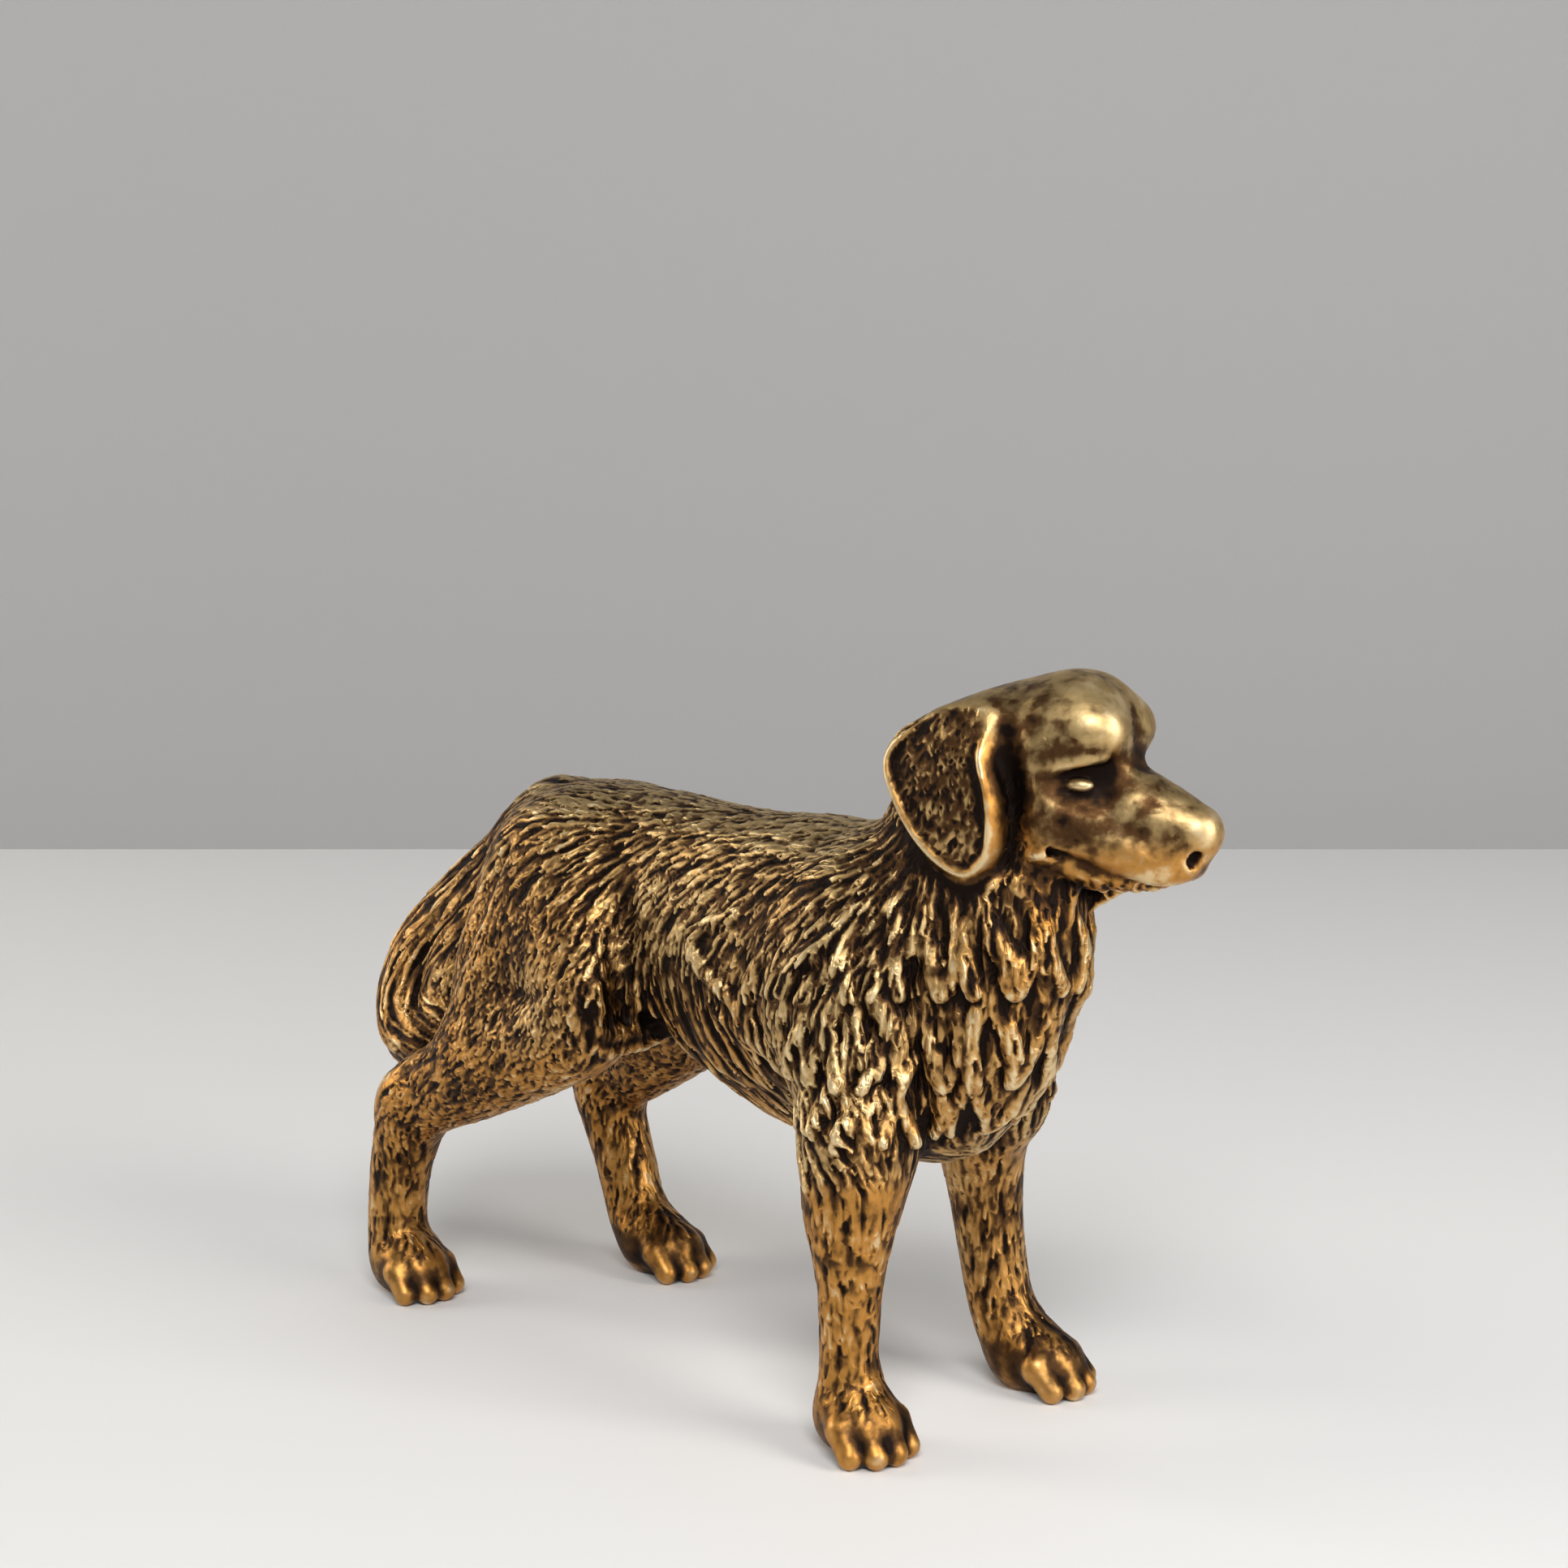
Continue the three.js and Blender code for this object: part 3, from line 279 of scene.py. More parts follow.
# The tail, the web that joins it to the rump and the groove between it and the right thigh.
def addTail():
    addTube(tailLine, squash=0.9, blend=3)
    addTube([(-48, -2, 78, 8.5), (-56, -4.5, 68, 8.5), (-61, -8, 58.5, 8), (-61.5, -12, 50, 6.5)],
            squash=0.75, blend=2, steps=3)
    addTube([(-37, -18.5, 84, 0.8), (-42, -22, 72.5, 1.6), (-46.8, -23.2, 61.5, 1.6), (-56, -22.4, 49, 1.2)],
            blend=2, cut=True, steps=2)


# The skull, the brows, the muzzle with its lips and jaw, then the eyes, the nose and the mouth.
def addHead():
    headOval((1.5, 0, 0), (13.6, 11.3, 10.8), 5)  # skull
    headOval((7.5, 0, 4.2), (8.4, 9.4, 8.1), 4)
    headTube([(-6, 0, -4, 9.5), (-13, 0, -11, 10.5)], squash=0.95, blend=5, steps=1)
    headOval((11.6, 4.9, 3.8), (4.8, 4.2, 4.1), 2.5)  # brows
    headTube([(6, 0, -7.4, 9), (14, 0, -8.7, 7.7), (21, 0, -10.4, 6.2), (24.6, 0, -11.2, 5)],
             squash=0.88, blend=3)  # muzzle
    headOval((26.7, 0, -10.4), (3.1, 3.8, 3.2), 1.2)  # tip of the nose
    headTube([(7, 5.2, -10, 4), (14, 4.6, -12.9, 3.9), (20.5, 3.4, -15.3, 3.5), (23.8, 1.8, -15.4, 3)],
             both=True, squash=0.9, blend=2)  # upper lips
    headTube([(2, 2.4, -14.7, 5.2), (12, 2.6, -16.5, 3.7), (19.8, 1.5, -17.3, 2.4)],
             both=True, blend=1.2)  # lower jaw
    headOval((3.5, 6.8, -7.8), (9, 4.6, 8.2), 3)  # cheeks
    headTube([(-13, 5.5, 1.5, 4), (-6, 6.2, 3.8, 4.2)], both=True, blend=4, steps=1)  # roots of the ears
    headOval((12, 9.1, -3.4), (5.2, 2.6, 3.1), 3, cut=True, toe=-25)  # sockets
    headOval((10.6, 7.7, -3.9), (2.2, 1.5, 1.0), 0.6)  # eyes
    headOval((26.9, 2.7, -14.4), (1.4, 1.0, 1.5), 0.6, cut=True)  # nostrils
    headOval((4.6, 9, -14.4), (2.0, 1.6, 1.3), 1.2)  # corners of the mouth
    headTube([(30.4, 0, -11, 0.4), (29.4, 0, -14.5, 0.5), (27.6, 0, -17, 0.5)],
             blend=0.6, cut=True, steps=2)  # cleft of the nose
    headTube([(3, 9.9, -2.2, 0.7), (7, 9.4, -1.1, 0.9), (10.5, 8.6, -0.2, 1), (13.6, 6.8, 0.5, 0.9)],
             both=True, blend=1.2)  # upper lids
    headTube([(0.2, 12, 3, 1.2), (0.6, 12.6, -3, 2), (0.8, 12.4, -10, 2), (-0.2, 12, -15.5, 1.4)],
             both=True, blend=3.5, cut=True)  # recesses before the ears
    headTube([(6.6, 8.9, -13.8, 0.9), (10.5, 7.9, -16.3, 1.15), (15.9, 6.3, -18.3, 1.1),
              (20.6, 4, -19.1, 0.8), (24.2, 0.6, -18.3, 0.7)],
             both=True, blend=0.7, cut=True, steps=2)  # line of the mouth
    headTube([(9, 0, 14.2, 0.6), (16, 0, 9.7, 0.8), (18, 0, 3.4, 1), (18, 0, -0.5, 0.9)],
             blend=2.5, cut=True, steps=2)  # furrow of the brow


# Signed distance to the ear's outline, negative inside.
def leafDistance(f, u):
    d = np.full(f.shape, 1e9, np.float32)
    inside = np.zeros(f.shape, bool)
    for n, a in enumerate(earLeaf):
        b = earLeaf[n - 1]
        e = (b[0] - a[0], b[1] - a[1])
        wf, wu = f - a[0], u - a[1]
        t = np.clip((wf * e[0] + wu * e[1]) / (e[0] ** 2 + e[1] ** 2), 0, 1)
        d = np.minimum(d, np.hypot(wf - e[0] * t, wu - e[1] * t))
        if e[1] != 0:
            inside ^= ((a[1] > u) != (b[1] > u)) & (f < a[0] + e[0] * wu / e[1])
    return np.where(inside, -d, d)


# How far out from the head's middle plane the ear's sheet hangs.
def earHang(f, u):
    return np.maximum(ear["hang"] - 0.01 * (f + 7) ** 2 - 0.018 * (u + 8) ** 2, ear["least"])


def earDistance(p, s):
    w = (p - headCentre) @ headAxes.T
    f, l, u = w[:, 0], w[:, 1] * s, w[:, 2]
    edge = leafDistance(f, u)
    hang = earHang(f, u)
    raised = np.exp(-((edge + ear["rimIn"]) / ear["rimWide"]) ** 2)
    outer = ear["half"] + ear["rim"] * raised * ramp(5, -1, u)
    slab = np.where(l > hang, outer - (l - hang), ear["half"] + ear["reach"] - (hang - l))
    return -blendMin(-edge, slab, ear["rounding"])


def addEars():
    for s in (-1, 1):
        ends = np.array([onHead(f, l * s, u) for f in (-23, 2) for l in (6, 16) for u in (-21, 9)])
        addMass(lambda p, s=s: earDistance(p, s), ends.min(0), ends.max(0), 1)


# Moves points in from outside until they meet the skin made so far.
def onSkin(start, inward):
    p = start.copy()
    for step in range(30):
        p += inward * np.minimum(fieldAt(p), 2.5)[:, None]
    return p


# Locks laid on the skin: thin at their roots, sunk in at first and standing off at their tips.
def layTubes(starts, inward, radius, out, blend):
    count, steps = starts.shape[:2]
    t = np.arange(steps) / (steps - 1)
    size = radius[:, None] * (0.5 + 0.6 * np.sin(math.pi * (0.12 + 0.8 * t)))
    rise = -size * 1.05 * (1 - t) + (out - size * 0.45) * t
    met = onSkin(starts.reshape(-1, 3), inward.reshape(-1, 3)).reshape(count, steps, 3)
    laid = met - inward * rise[..., None]
    for line in np.concatenate([laid, size[..., None]], 2):
        addTube(line, blend=blend, steps=2, inner=0.3)


def addTier(tier, side):
    n = np.arange(tier["locks"])[:, None]
    t = np.arange(5)[None] / 4
    jitter = np.sin(n * 12.9 + tier["top"] * 1.7)
    first, last = np.radians(tier["arc"])
    a = side * (first + (last - first) * n / (tier["locks"] - 1) + 0.10 * np.sin(t * 5 + n * 2.3))
    z = tier["top"] + (tier["end"] + jitter * 1.3 - tier["top"]) * t
    away = np.stack([np.cos(a), np.sin(a), 0 * a], -1)
    middle = np.stack([tier["middle"][0] + 0 * z, tier["middle"][1] * side + 0 * z, z], -1)
    layTubes(middle + away * farOut, -away, tier["radius"] * (1 + 0.12 * jitter[:, 0]), tier["out"], 0.6)


def addFringe(side):
    n = np.arange(fringe["strands"])[:, None]
    t = np.arange(6)[None] / 5
    x = fringe["first"] + n * fringe["apart"] + fringe["forwards"] * t * t + 0.5 * np.sin(t * 6 + n * 2.1)
    z = fringe["top"] + (fringe["end"] + 1.5 * np.sin(n * 3.7) - fringe["top"]) * t
    tilt = 0.5 * t + 0 * n
    inward = np.stack([0 * x, -side * np.cos(tilt), np.sin(tilt)], -1)
    starts = np.stack([x, side * farOut + 0 * x, z - 25 * tilt], -1)
    layTubes(starts, inward, np.full(fringe["strands"], fringe["radius"]), 0, 1)


def addFreeLocks():
    for tier in armTiers:
        addTier(tier, -1)
        addTier(tier, 1)
    for tier in maneTiers:
        addTier(tier, 1)
    addFringe(-1)
    addFringe(1)


# Signed distance to the figure made so far: each mass is blended in or cut out in turn.
def fieldAt(p):
    p = np.asarray(p, np.float32)
    field = np.full(len(p), 50, np.float32)
    for distance, low, high, blend, cut in masses:
        near = np.flatnonzero(((p > low) & (p < high)).all(1))
        if len(near) == 0:
            continue
        d = distance(p[near])
        field[near] = -blendMin(-field[near], d, blend) if cut else blendMin(field[near], d, blend)
    return field


corners = np.array([(c >> 2, (c >> 1) & 1, c & 1) for c in range(8)])


# The field on a fine grid, worked out only near the surface that a coarse grid finds.
def fillGrid(cell):
    every = 4
    low = np.array([-92, -34, -cell / 2])
    counts = [int(math.ceil((h - l) / cell / every)) * every + 1 for l, h in zip(low, (95, 34, 123))]
    lines = [l + np.arange(n) * cell for l, n in zip(low, counts)]
    crossings = lambda axes: np.stack(np.meshgrid(*axes, indexing="ij"), -1).reshape(-1, 3)
    wide = [line[::every] for line in lines]
    coarse = fieldAt(crossings(wide)).reshape([len(w) for w in wide])
    for axis in range(3):
        n = coarse.shape[axis]
        at = np.arange((n - 1) * every + 1) / every
        first = np.minimum(at.astype(int), n - 2)
        shape = [1, 1, 1]
        shape[axis] = -1
        t = (at - first).reshape(shape).astype(np.float32)
        coarse = np.take(coarse, first, axis) * (1 - t) + np.take(coarse, first + 1, axis) * t
    near = np.argwhere(np.abs(coarse) < 2.4)
    coarse[tuple(near.T)] = fieldAt(np.stack([lines[a][near[:, a]] for a in range(3)], -1))
    return np.maximum(coarse, -lines[2].astype(np.float32)), lines


# A cell whose inner or outer corners fall into two groups would join two sheets at one vertex,
# so its shallowest outer corner is filled until no such cell is left.
def closeGaps(field):
    def groups(mask):
        seen, count = set(), 0
        for c in range(8):
            if mask >> c & 1 and c not in seen:
                count += 1
                todo = [c]
                while todo:
                    at = todo.pop()
                    seen.add(at)
                    todo += [at ^ b for b in (1, 2, 4) if mask >> (at ^ b) & 1 and (at ^ b) not in seen]
        return count
    split = np.array([groups(m) > 1 or groups(255 - m) > 1 for m in range(256)])
    shape = [n - 1 for n in field.shape]
    for again in range(20):
        mask = np.zeros(shape, np.uint8)
        for c, (i, j, k) in enumerate(corners):
            mask |= (field[i: shape[0] + i, j: shape[1] + j, k: shape[2] + k] < 0).astype(np.uint8) << c
        bad = np.argwhere(split[mask])
        if len(bad) == 0:
            break
        at = bad[:, None] + corners
        v = field[tuple(np.moveaxis(at, 2, 0))]
        least = np.argmin(np.where(v < 0, np.inf, v), 1)
        field[tuple(at[np.arange(len(bad)), least].T)] = -0.02
    return mask


# One vertex in each cell that the surface crosses, and a face across each grid edge it crosses.
def meshGrid(field, mask, lines):
    cells = np.argwhere((mask > 0) & (mask < 255))
    vertexOf = np.full(mask.shape, -1, np.int32)
    vertexOf[tuple(cells.T)] = np.arange(len(cells))
    values = [field[tuple((cells + c).T)] for c in corners]
    places = [np.stack([lines[a][cells[:, a] + c[a]] for a in range(3)], -1) for c in corners]
    total = np.zeros((len(cells), 3))
    crossed = np.zeros(len(cells))
    for a in range(8):
        for b in (a | bit for bit in (1, 2, 4) if not a & bit):
            cross = (values[a] < 0) != (values[b] < 0)
            t = np.where(cross, values[a] / np.where(cross, values[a] - values[b], 1), 0)
            total += np.where(cross[:, None], places[a] + t[:, None] * (places[b] - places[a]), 0)
            crossed += cross
    faces = []
    inside = field < 0
    for axis in range(3):
        u, w = (axis + 1) % 3, (axis + 2) % 3
        first = np.take(inside, range(field.shape[axis] - 1), axis)
        second = np.take(inside, range(1, field.shape[axis]), axis)
        e = np.argwhere(first != second)
        du, dw = np.eye(3, dtype=int)[u], np.eye(3, dtype=int)[w]
        ring = np.stack([vertexOf[tuple((e - s).T)] for s in (du + dw, dw, 0 * du, du)], -1)
        outward = first[tuple(e.T)]
        ring[~outward] = ring[~outward][:, ::-1]
        faces.append(ring)
    top = np.stack([values[c] < 0 for c in (1, 3, 5, 7)]).sum(0)
    sole = cells[:, 2] == 0
    return total / crossed[:, None], np.concatenate(faces), sole, sole & (top < 4)


def vertexNormals(points, faces):
    n = np.cross(points[faces[:, 2]] - points[faces[:, 0]], points[faces[:, 3]] - points[faces[:, 1]])
    out = np.stack([sum(np.bincount(faces[:, c], n[:, a], len(points)) for c in range(4)) for a in range(3)], -1)
    return unitVectors(out)


# Average of each value with those of its neighbours, repeated.
def smoothed(values, faces, times):
    links = np.concatenate([faces[:, [0, 1]], faces[:, [1, 2]], faces[:, [2, 3]], faces[:, [3, 0]]])
    count = np.maximum(np.bincount(links[:, 0], minlength=len(values)), 1)
    flat = values.reshape(len(values), -1)
    for again in range(times):
        sums = [np.bincount(links[:, 0], flat[links[:, 1], n], len(values)) for n in range(flat.shape[1])]
        flat = 0.5 * flat + 0.5 * np.stack(sums, -1) / count[:, None]
    return flat.reshape(values.shape)


# Slides points along the slope of the field to its surface.
def toSurface(p, level=None):
    for again in range(2):
        here = fieldAt(p)
        slope = np.stack([fieldAt(p + d) - here for d in np.eye(3) * 0.15], -1) / 0.15
        if level is not None:
            slope[:, 2] = np.where(level, 0, slope[:, 2])
        steep = np.maximum((slope ** 2).sum(1), 0.3)
        p = p - slope * np.clip(here / steep, -0.4, 0.4)[:, None]
    return p


# The way the hair lies, each lock's width, length and depth, how light the metal is, rubbed bare and with painted
# light and shade, and how warm it is, with a painted warm reflection.
# Regions are laid over each other in turn, as paint is.
def coatPlan(p, n):
    x, y, z = p.T
    f, l, u = ((p - headCentre) @ headAxes.T).T
    zero, one = np.zeros_like(x), np.ones_like(x)
    hindX = ramp(-6, -14, x)
    edge = leafDistance(f, u)
    overEar = ramp(-2.2, -0.8, np.abs(l) - earHang(f, u)) * (f < 4) * (z > 80)
    tail = throughStations(tailLine, 3)
    apart = ((p[:, None] - tail[None, :, :3]) ** 2).sum(2)
    nearest = np.argmin(apart, 1)
    behindThigh = ramp(-38, -46, x + (z - 60) * 0.25 * (y < -14))
    aboveLeg = ramp(-48, -54, x - np.maximum(50 - z, 0) * 1.2)
    onTail = ramp(13.5, 11, np.sqrt(apart.min(1))) * behindThigh * aboveLeg
    along = unitVectors(np.gradient(tail[:, :3], axis=0))[nearest]
    muzzle = ramp(-11, -6, f) * np.maximum(ramp(-24, -19, u), ramp(1, 6, f))
    crown = ramp(-16, -12, f) * ramp(-6, 0, u)
    layers = dict(
        flank=one,
        back=ramp(0.5, 0.85, n[:, 2]) * ramp(70, 76, z) * ramp(48, 40, x),
        belly=ramp(72, 62, z + 0.15 * np.abs(x - 10)) * ramp(-16, -8, x) * ramp(38, 30, x),
        shoulder=ramp(16, 26, x) * ramp(90, 82, z),
        neck=ramp(36, 46, x) * ramp(73, 80, z),
        mane=ramp(49, 55, x) * ramp(44, 50, z) * ramp(96, 92, z),
        thigh=hindX * ramp(84, 74, z),
        gaskin=hindX * ramp(56, 46, z),
        leg=np.where(x > 0, ramp(47, 39, z), ramp(36, 28, z)),
        tail=onTail,
        face=np.clip(muzzle + crown, 0, 1) * ramp(88, 91, z) * (x > 45),
        cheek=(ramp(6.5, 3, f) * ramp(-2, -5, u) * ramp(-21, -17, u) * ramp(5, 7, np.abs(l))
               * ramp(-9, -5, f) * (x > 45)),
        ear=overEar * ramp(-0.6, -1.8, edge),
        rim=overEar * ramp(-2.4, -1.8, edge) * ramp(0.9, 0.3, edge) * ramp(5, 0, u))
    outer = np.sign(y) * ramp(0, 4, np.abs(y))
    arc = np.stack([-(z - 62) * 0.048, zero, -one], -1)
    ways = dict(
        flank=arc,
        back=np.stack([-one, 0.2 * outer, -0.12 * one], -1),
        belly=np.stack([0.22 + 0.6 * ramp(60, 48, z), zero, -one], -1),
        shoulder=np.stack([-(z - 66) * 0.05, zero, -one], -1),
        neck=np.stack([-0.55 * one, 0.15 * outer, -0.85 * one], -1),
        mane=np.stack([0.1 * one, zero, -one], -1),
        thigh=np.stack([-0.42 * one, zero, -0.9 * one], -1),
        gaskin=np.stack([-0.8 * one, zero, -0.6 * one], -1),
        leg=np.stack([zero, zero, -one], -1),
        tail=along,
        face=arc,
        ear=np.stack([-0.35 * one, zero, -0.95 * one], -1),
        rim=arc,
        cheek=np.stack([-0.45 * one, zero, -one], -1))
    parts = {}
    for name, mask in layers.items():
        parts = {other: share * (1 - mask) for other, share in parts.items()}
        parts[name] = mask
    way = sum(unitVectors(ways[name]) * share[:, None] for name, share in parts.items())
    make = sum(np.array(coat[name]) * share[:, None] for name, share in parts.items())
    make[:, 2] *= ramp(4, 12, z)
    # Painted warm reflection of the floor on the lower face, jaw and lips.
    make[:, 4] += 0.6 * ramp(-9, -15, u) * ramp(2, 5, f) * (z > 80)
    # Painted highlight on brow and nose, painted reflection along the jaw and painted shade by the eyes and ears, on
    # top of the rubbed wear.
    for ahead, aside, up, reach, amount in rubbedAndPaintedLight:
        gap = (f - ahead) ** 2 + (np.abs(l) - aside) ** 2 + (u - up) ** 2
        make[:, 3] += amount * np.exp(-gap / reach ** 2)
    return unitVectors(way - n * (way * n).sum(1, keepdims=True)), make


# Order of places along a curve that fills space, so that picks spread out evenly.
def spreadOrder(p, cell):
    q = ((p - p.min(0)) / cell).astype(np.int64)
    code = np.zeros(len(p), np.int64)
    for bit in range(8):
        for a in range(3):
            code |= ((q[:, a] >> bit) & 1) << (3 * bit + a)
    return np.argsort(code, kind="stable")


# Height of the hair at each vertex: the highest of the locks that lie over it. A lock rises from its
# root to its tip, is rounded across, and ends in a blunt tip. Crest is the height as a share of the
# lock's own depth, and strand is where the vertex lies across the lock.
def layLocks(points, normals, faces):
    rng = np.random.default_rng(hair["seed"])
    way, make = coatPlan(points, normals)
    wide, long, deep = make[:, :3].T
    first, second = (points[faces[:, c]] - points[faces[:, 0]] for c in (1, 3))
    area = np.linalg.norm(np.cross(first, second), axis=1)
    share = np.bincount(faces[:, 0], area, len(points))
    order = spreadOrder(points, 1.2)
    crowd = np.cumsum((share * (deep > 0.03) * hair["overlap"] / (wide * long * hair["cover"]))[order])
    wanted = int(crowd[-1]) - 1
    picks = order[np.searchsorted(crowd, np.arange(wanted) + rng.random(wanted))]
    rng.shuffle(picks)
    count = len(picks)
    wide, long, deep = (make[picks, :3] * rng.uniform(1 - hair["vary"], 1 + hair["vary"], (count, 3))).T
    steps = hair["steps"]
    path = [points[picks]]
    facing = normals[picks]
    swing = rng.uniform(-hair["swing"], hair["swing"], count)
    phase = rng.uniform(0, 6.3, count)
    for k in range(steps):
        here, _ = coatPlan(path[-1], facing)
        sideways = swing + hair["waver"] * 5 / (1 + long) * np.sin(k * 1.9 + phase)
        here = here + np.cross(facing, here) * sideways[:, None]
        ahead = path[-1] + here * (long / steps)[:, None]
        value = fieldAt(ahead)
        slope = np.stack([fieldAt(ahead + d) - value for d in np.eye(3) * 0.3], -1) / 0.3
        facing = unitVectors(slope)
        path.append(ahead - facing * np.clip(value, -1.5, 1.5)[:, None])
    path = np.stack(path, 1)
    bucket = 2.5  # vertices are sorted into boxes of this size, so that each lock looks only at those near it
    start = points.min(0) - 12
    dims = ((points.max(0) + 12 - start) / bucket).astype(int) + 2
    cells = ((points - start) / bucket).astype(int)
    keys = (cells[:, 0] * dims[1] + cells[:, 1]) * dims[2] + cells[:, 2]
    byKey = np.argsort(keys, kind="stable")
    sortedKeys = keys[byKey]
    height, strand, crest = np.zeros((3, len(points)))
    lows = ((path.min(1) - wide[:, None] / 2 - start) / bucket).astype(int)
    highs = ((path.max(1) + wide[:, None] / 2 - start) / bucket).astype(int)
    for n in range(count):
        low, high = lows[n], highs[n]
        across = np.arange(low[0], high[0] + 1)[:, None] * dims[1] + np.arange(low[1], high[1] + 1)
        base = (across * dims[2]).ravel()
        ends = np.searchsorted(sortedKeys, np.stack([base + low[2], base + high[2] + 1]))
        found = [byKey[a:b] for a, b in ends.T if b > a]
        if not found:
            continue
        near = np.concatenate(found)
        a, axis = path[n, :-1], np.diff(path[n], axis=0)
        w = points[near][:, None] - a
        t = np.clip(np.einsum("ijk,jk->ij", w, axis) / np.maximum((axis ** 2).sum(1), 1e-9), 0, 1)
        off = w - t[..., None] * axis
        d = np.einsum("ijk,ijk->ij", off, off)
        k = np.argmin(d, 1)
        rows = np.arange(len(near))
        s = (k + t[rows, k]) / steps
        blunt = ((s - hair["tip"]) / hair["tipLong"]) ** 2 * (s > hair["tip"])
        girth = wide[n] / 2 * (0.5 + 0.5 * ramp(0, 0.4, s)) * np.sqrt(np.clip(1 - blunt, 0, 1))
        side = np.sqrt(d[rows, k]) / np.maximum(girth, 1e-3)
        part = (0.35 + 0.65 * s) * ramp(0, 0.12, s) * np.clip(1 - side ** 2, 0, 1) ** 0.7
        higher = deep[n] * part > height[near]
        took = near[higher]
        height[took] = deep[n] * part[higher]
        crest[took] = part[higher]
        turned = (np.cross(axis[k], normals[near]) * off[rows, k]).sum(1)
        strand[took] = (np.sign(turned) * np.sqrt(d[rows, k]))[higher]
    say(f"{count} locks laid")
    return height, strand, crest, make


# The whole skin with its hair. Small and broad say how far each vertex lies in a hollow of either size.
def buildFigure():
    for add in (addTrunk, addLegs, addPaws, addTail, addHead, addEars, addFreeLocks):
        add()
    field, lines = fillGrid(figure["cell"])
    say("field filled")
    mask = closeGaps(field)
    points, faces, sole, rim = meshGrid(field, mask, lines)
    points[sole, 2] = 0
    say(f"{len(points)} vertices")
    moving = ~sole | rim
    points[moving] = toSurface(points[moving], rim[moving])
    points[sole, 2] = 0
    normals = vertexNormals(points, faces)
    say("skin smoothed")
    height, strand, crest, make = layLocks(points, normals, faces)
    depth = make[:, 2]
    height = np.minimum(height, hair["tallest"] * depth)
    lift = height - hair["sunk"] * depth
    lift *= ramp(0.3, 1.5, points[:, 2])
    lift[sole] = 0
    shaped = points + normals * lift[:, None]
    fine = smoothed(shaped, faces, 3)
    newNormals = vertexNormals(shaped, faces)
    small = ((fine - shaped) * newNormals).sum(1)
    broad = ((smoothed(fine, faces, 28) - fine) * newNormals).sum(1)
    hairy = ramp(0.03, 0.2, depth)
    crest = crest * 1.1 * hairy + 0.5 * (1 - hairy)
    say("relief laid on")
    return shaped, faces, dict(crest=crest, small=small, broad=broad, strand=strand, hairy=hairy,
                               bareAndPaintedLight=make[:, 3], warmthAndReflection=make[:, 4])


# A mesh from faces of four corners, in metres, with one value of each mark at each vertex.
def makePiece(name, points, faces, marks):
    scale = figure["height"] / figure["sharesHigh"]
    placed = (points - np.array([*figure["middle"], 0])) * scale
    mesh = bpy.data.meshes.new(name)
    mesh.vertices.add(len(placed))
    mesh.vertices.foreach_set("co", placed.astype(np.float32).ravel())
    mesh.loops.add(faces.size)
    mesh.loops.foreach_set("vertex_index", faces.astype(np.int32).ravel())
    mesh.polygons.add(len(faces))
    mesh.polygons.foreach_set("loop_start", np.arange(len(faces), dtype=np.int32) * 4)
    mesh.update(calc_edges=True)
    mesh.polygons.foreach_set("use_smooth", np.ones(len(faces), bool))
    for key, values in marks.items():
        layer = mesh.attributes.new(key, "FLOAT", "POINT")
        layer.data.foreach_set("value", values.astype(np.float32))
    piece = bpy.data.objects.new(name, mesh)
    bpy.context.scene.collection.objects.link(piece)
    return piece


# Thins the mesh where it is flat, down to the number of triangles asked for.
def thin(piece, wanted):
    bpy.context.view_layer.objects.active = piece
    have = sum(len(p.vertices) - 2 for p in piece.data.polygons)
    if have > wanted:
        fewer = piece.modifiers.new("fewer", "DECIMATE")
        fewer.ratio = wanted / have
        bpy.ops.object.modifier_apply(modifier=fewer.name)
    say(f"{have} triangles thinned to {sum(len(p.vertices) - 2 for p in piece.data.polygons)}")


def nodeMaker(material):
    tree = material.node_tree
    tree.nodes.clear()

    def make(kind, inputs=(), **settings):
        node = tree.nodes.new(kind)
        for key, value in settings.items():
            setattr(node, key, value)
        for key, value in dict(inputs).items():
            if isinstance(value, bpy.types.NodeSocket):
                tree.links.new(value, node.inputs[key])
            else:
                node.inputs[key].default_value = value
        return node
    return make


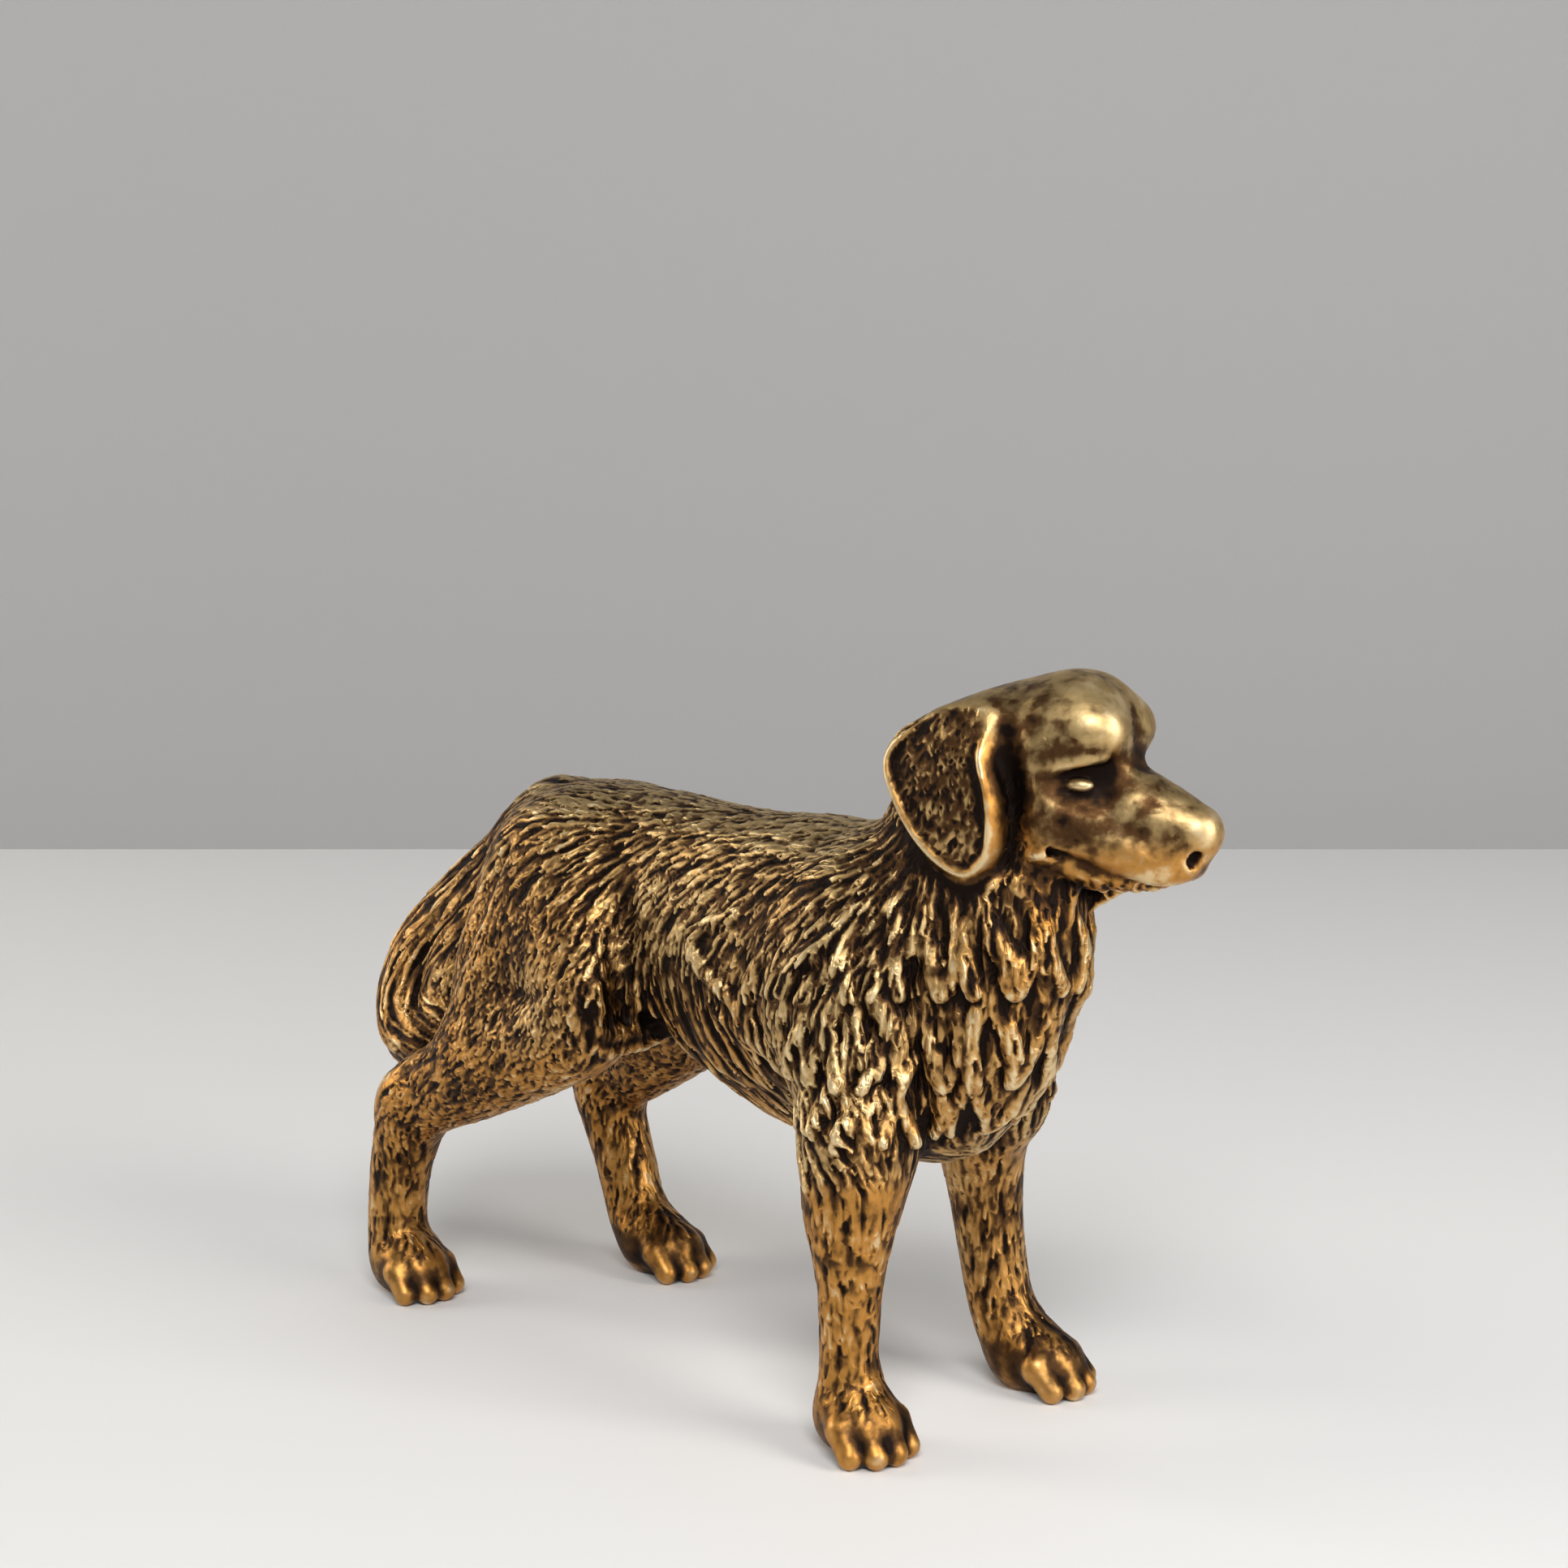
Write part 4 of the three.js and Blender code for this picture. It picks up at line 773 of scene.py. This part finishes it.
def brassMaterial():
    material = bpy.data.materials.new("antique_brass")
    material.use_nodes = True
    make = nodeMaker(material)
    both = lambda op, a, b: make("ShaderNodeMath", {0: a, 1: b}, operation=op).outputs[0]
    times = lambda a, k: both("MULTIPLY", a, k)
    plus = lambda *terms: terms[0] if len(terms) == 1 else both("ADD", terms[0], plus(*terms[1:]))
    mark = lambda name: make("ShaderNodeAttribute", attribute_name=name).outputs["Fac"]
    place = make("ShaderNodeTexCoord").outputs["Object"]
    noise = lambda scale, detail: make(
        "ShaderNodeTexNoise", {"Vector": place, "Scale": scale, "Detail": detail}).outputs["Fac"]
    uneven = lambda scale, detail, amount: times(both("SUBTRACT", noise(scale, detail), 0.5), amount)
    spread = lambda value, low, high: make(
        "ShaderNodeMapRange", {"Value": value, "From Min": low, "From Max": high},
        clamp=True, interpolation_type="SMOOTHSTEP").outputs[0]
    tone = lambda name: (*brass[name], 1)
    blend = lambda share, a, b: make("ShaderNodeMix", {0: share, 6: a, 7: b}, data_type="RGBA").outputs[2]
    # wear and painted light = height of the hair, less the depth of hollows, plus mottling and each region's own wear
    # and painted light and shade
    wearAndPaintedLight = plus(times(both("SUBTRACT", mark("crest"), 0.5), brass["ridge"]), times(mark("small"), brass["hollow"]),
                times(mark("broad"), brass["valley"]), uneven(*brass["mottle"]), uneven(*brass["blotch"]),
                mark("bareAndPaintedLight"), brass["worn"])
    # Warmth, partly a painted warm reflection on the lower parts, turns pale gold into orange.
    warmthAndReflection = spread(plus(mark("warmthAndReflection"), uneven(*brass["tint"])), *brass["toWarm"])
    gold = blend(warmthAndReflection, tone("pale"), tone("warm"))
    low = blend(spread(wearAndPaintedLight, *brass["toBrown"]), tone("dark"), tone("brown"))
    mid = blend(spread(wearAndPaintedLight, *brass["toGold"]), low, gold)
    # The palest tone, glint, is a painted highlight on the highest ridges.
    colour = blend(spread(wearAndPaintedLight, *brass["toGlint"]), mid, tone("glint"))
    smooth = spread(wearAndPaintedLight, *brass["toSmooth"])
    rough = make("ShaderNodeMix", {0: smooth, 2: brass["darkRough"], 3: brass["rough"]}, data_type="FLOAT").outputs[0]
    scale, detail, amount = brass["grain"]
    lines = both("SINE", times(mark("strand"), brass["strands"]), 0)
    grain = plus(times(noise(scale, detail), amount), times(lines, mark("hairy")))
    bump = make("ShaderNodeBump", {"Height": grain, "Strength": brass["bump"],
                                   "Distance": brass["bumpDeep"]}).outputs[0]
    shader = make("ShaderNodeBsdfPrincipled", {"Base Color": colour, "Metallic": 1.0, "Roughness": rough,
                                               "Normal": bump})
    make("ShaderNodeOutputMaterial", {"Surface": shader.outputs[0]})
    return material


def plainMaterial(name, colour, rough):
    material = bpy.data.materials.new(name)
    material.use_nodes = True
    shader = material.node_tree.nodes["Principled BSDF"]
    shader.inputs["Base Color"].default_value = (*colour, 1)
    shader.inputs["Roughness"].default_value = rough
    return material


# A pale floor that reaches a plain wall a step behind the figure, square to the camera.
def addStage():
    ax, ay = room["ahead"]
    side, ahead, up = np.array([ay, -ax, 0]), np.array([ax, ay, 0]), np.array([0, 0, 1.0])
    edges = dict(floor=((room["floorFrom"], 0), (room["wallAt"], 0)),
                 wall=((room["wallAt"], 0), (room["wallAt"], room["wallHigh"])))
    for name, (near, far) in edges.items():
        rows = [side * a + ahead * d + up * z for d, z in (near, far) for a in (-room["halfWide"], room["halfWide"])]
        mesh = bpy.data.meshes.new(name)
        mesh.from_pydata([tuple(p) for p in rows], [], [(0, 1, 3, 2)])
        mesh.materials.append(plainMaterial(f"pale_{name}", room[name], room["rough"]))
        piece = bpy.data.objects.new(name, mesh)
        bpy.context.scene.collection.objects.link(piece)


def addLight(name, place, target, size, power, colour):
    lamp = bpy.data.lights.new(name, "AREA")
    lamp.shape = "RECTANGLE"
    lamp.size, lamp.size_y = size
    lamp.energy = power
    lamp.color = colour
    holder = bpy.data.objects.new(name, lamp)
    holder.location = place
    direction = np.array(target) - np.array(place)
    holder.rotation_euler = mathutils.Vector(direction).to_track_quat("-Z", "Y").to_euler()
    bpy.context.scene.collection.objects.link(holder)


def addWorld():
    world = bpy.data.worlds.new("soft_grey")
    world.use_nodes = True
    background = world.node_tree.nodes["Background"]
    background.inputs["Color"].default_value = (*room["sky"], 1)
    background.inputs["Strength"].default_value = room["skyPower"]
    bpy.context.scene.world = world


def addCamera():
    scale = figure["height"] / figure["sharesHigh"]
    camera = bpy.data.cameras.new("camera")
    camera.lens = room["lens"]
    camera.sensor_width = room["sensor"]
    camera.clip_start = room["nearest"]
    holder = bpy.data.objects.new("camera", camera)
    holder.location = [(e - m) * scale for e, m in zip(room["eye"], (*figure["middle"], 0))]
    heading = math.atan2(room["ahead"][1], room["ahead"][0]) - math.pi / 2
    holder.rotation_euler = (math.pi / 2 - math.radians(room["pitch"]), 0, heading)
    bpy.context.scene.collection.objects.link(holder)
    bpy.context.scene.camera = holder


points, faces, marks = buildFigure()
dogPiece = makePiece("dog", points, faces, marks)
thin(dogPiece, figure["triangles"])
dogPiece.data.materials.append(brassMaterial())
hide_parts("dog_figure")
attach(dogPiece, "root")
addStage()
addCamera()
addWorld()
for lamp in lamps:
    addLight(**lamp)
bpy.context.scene.view_settings.view_transform = "Standard"
say("scene built")
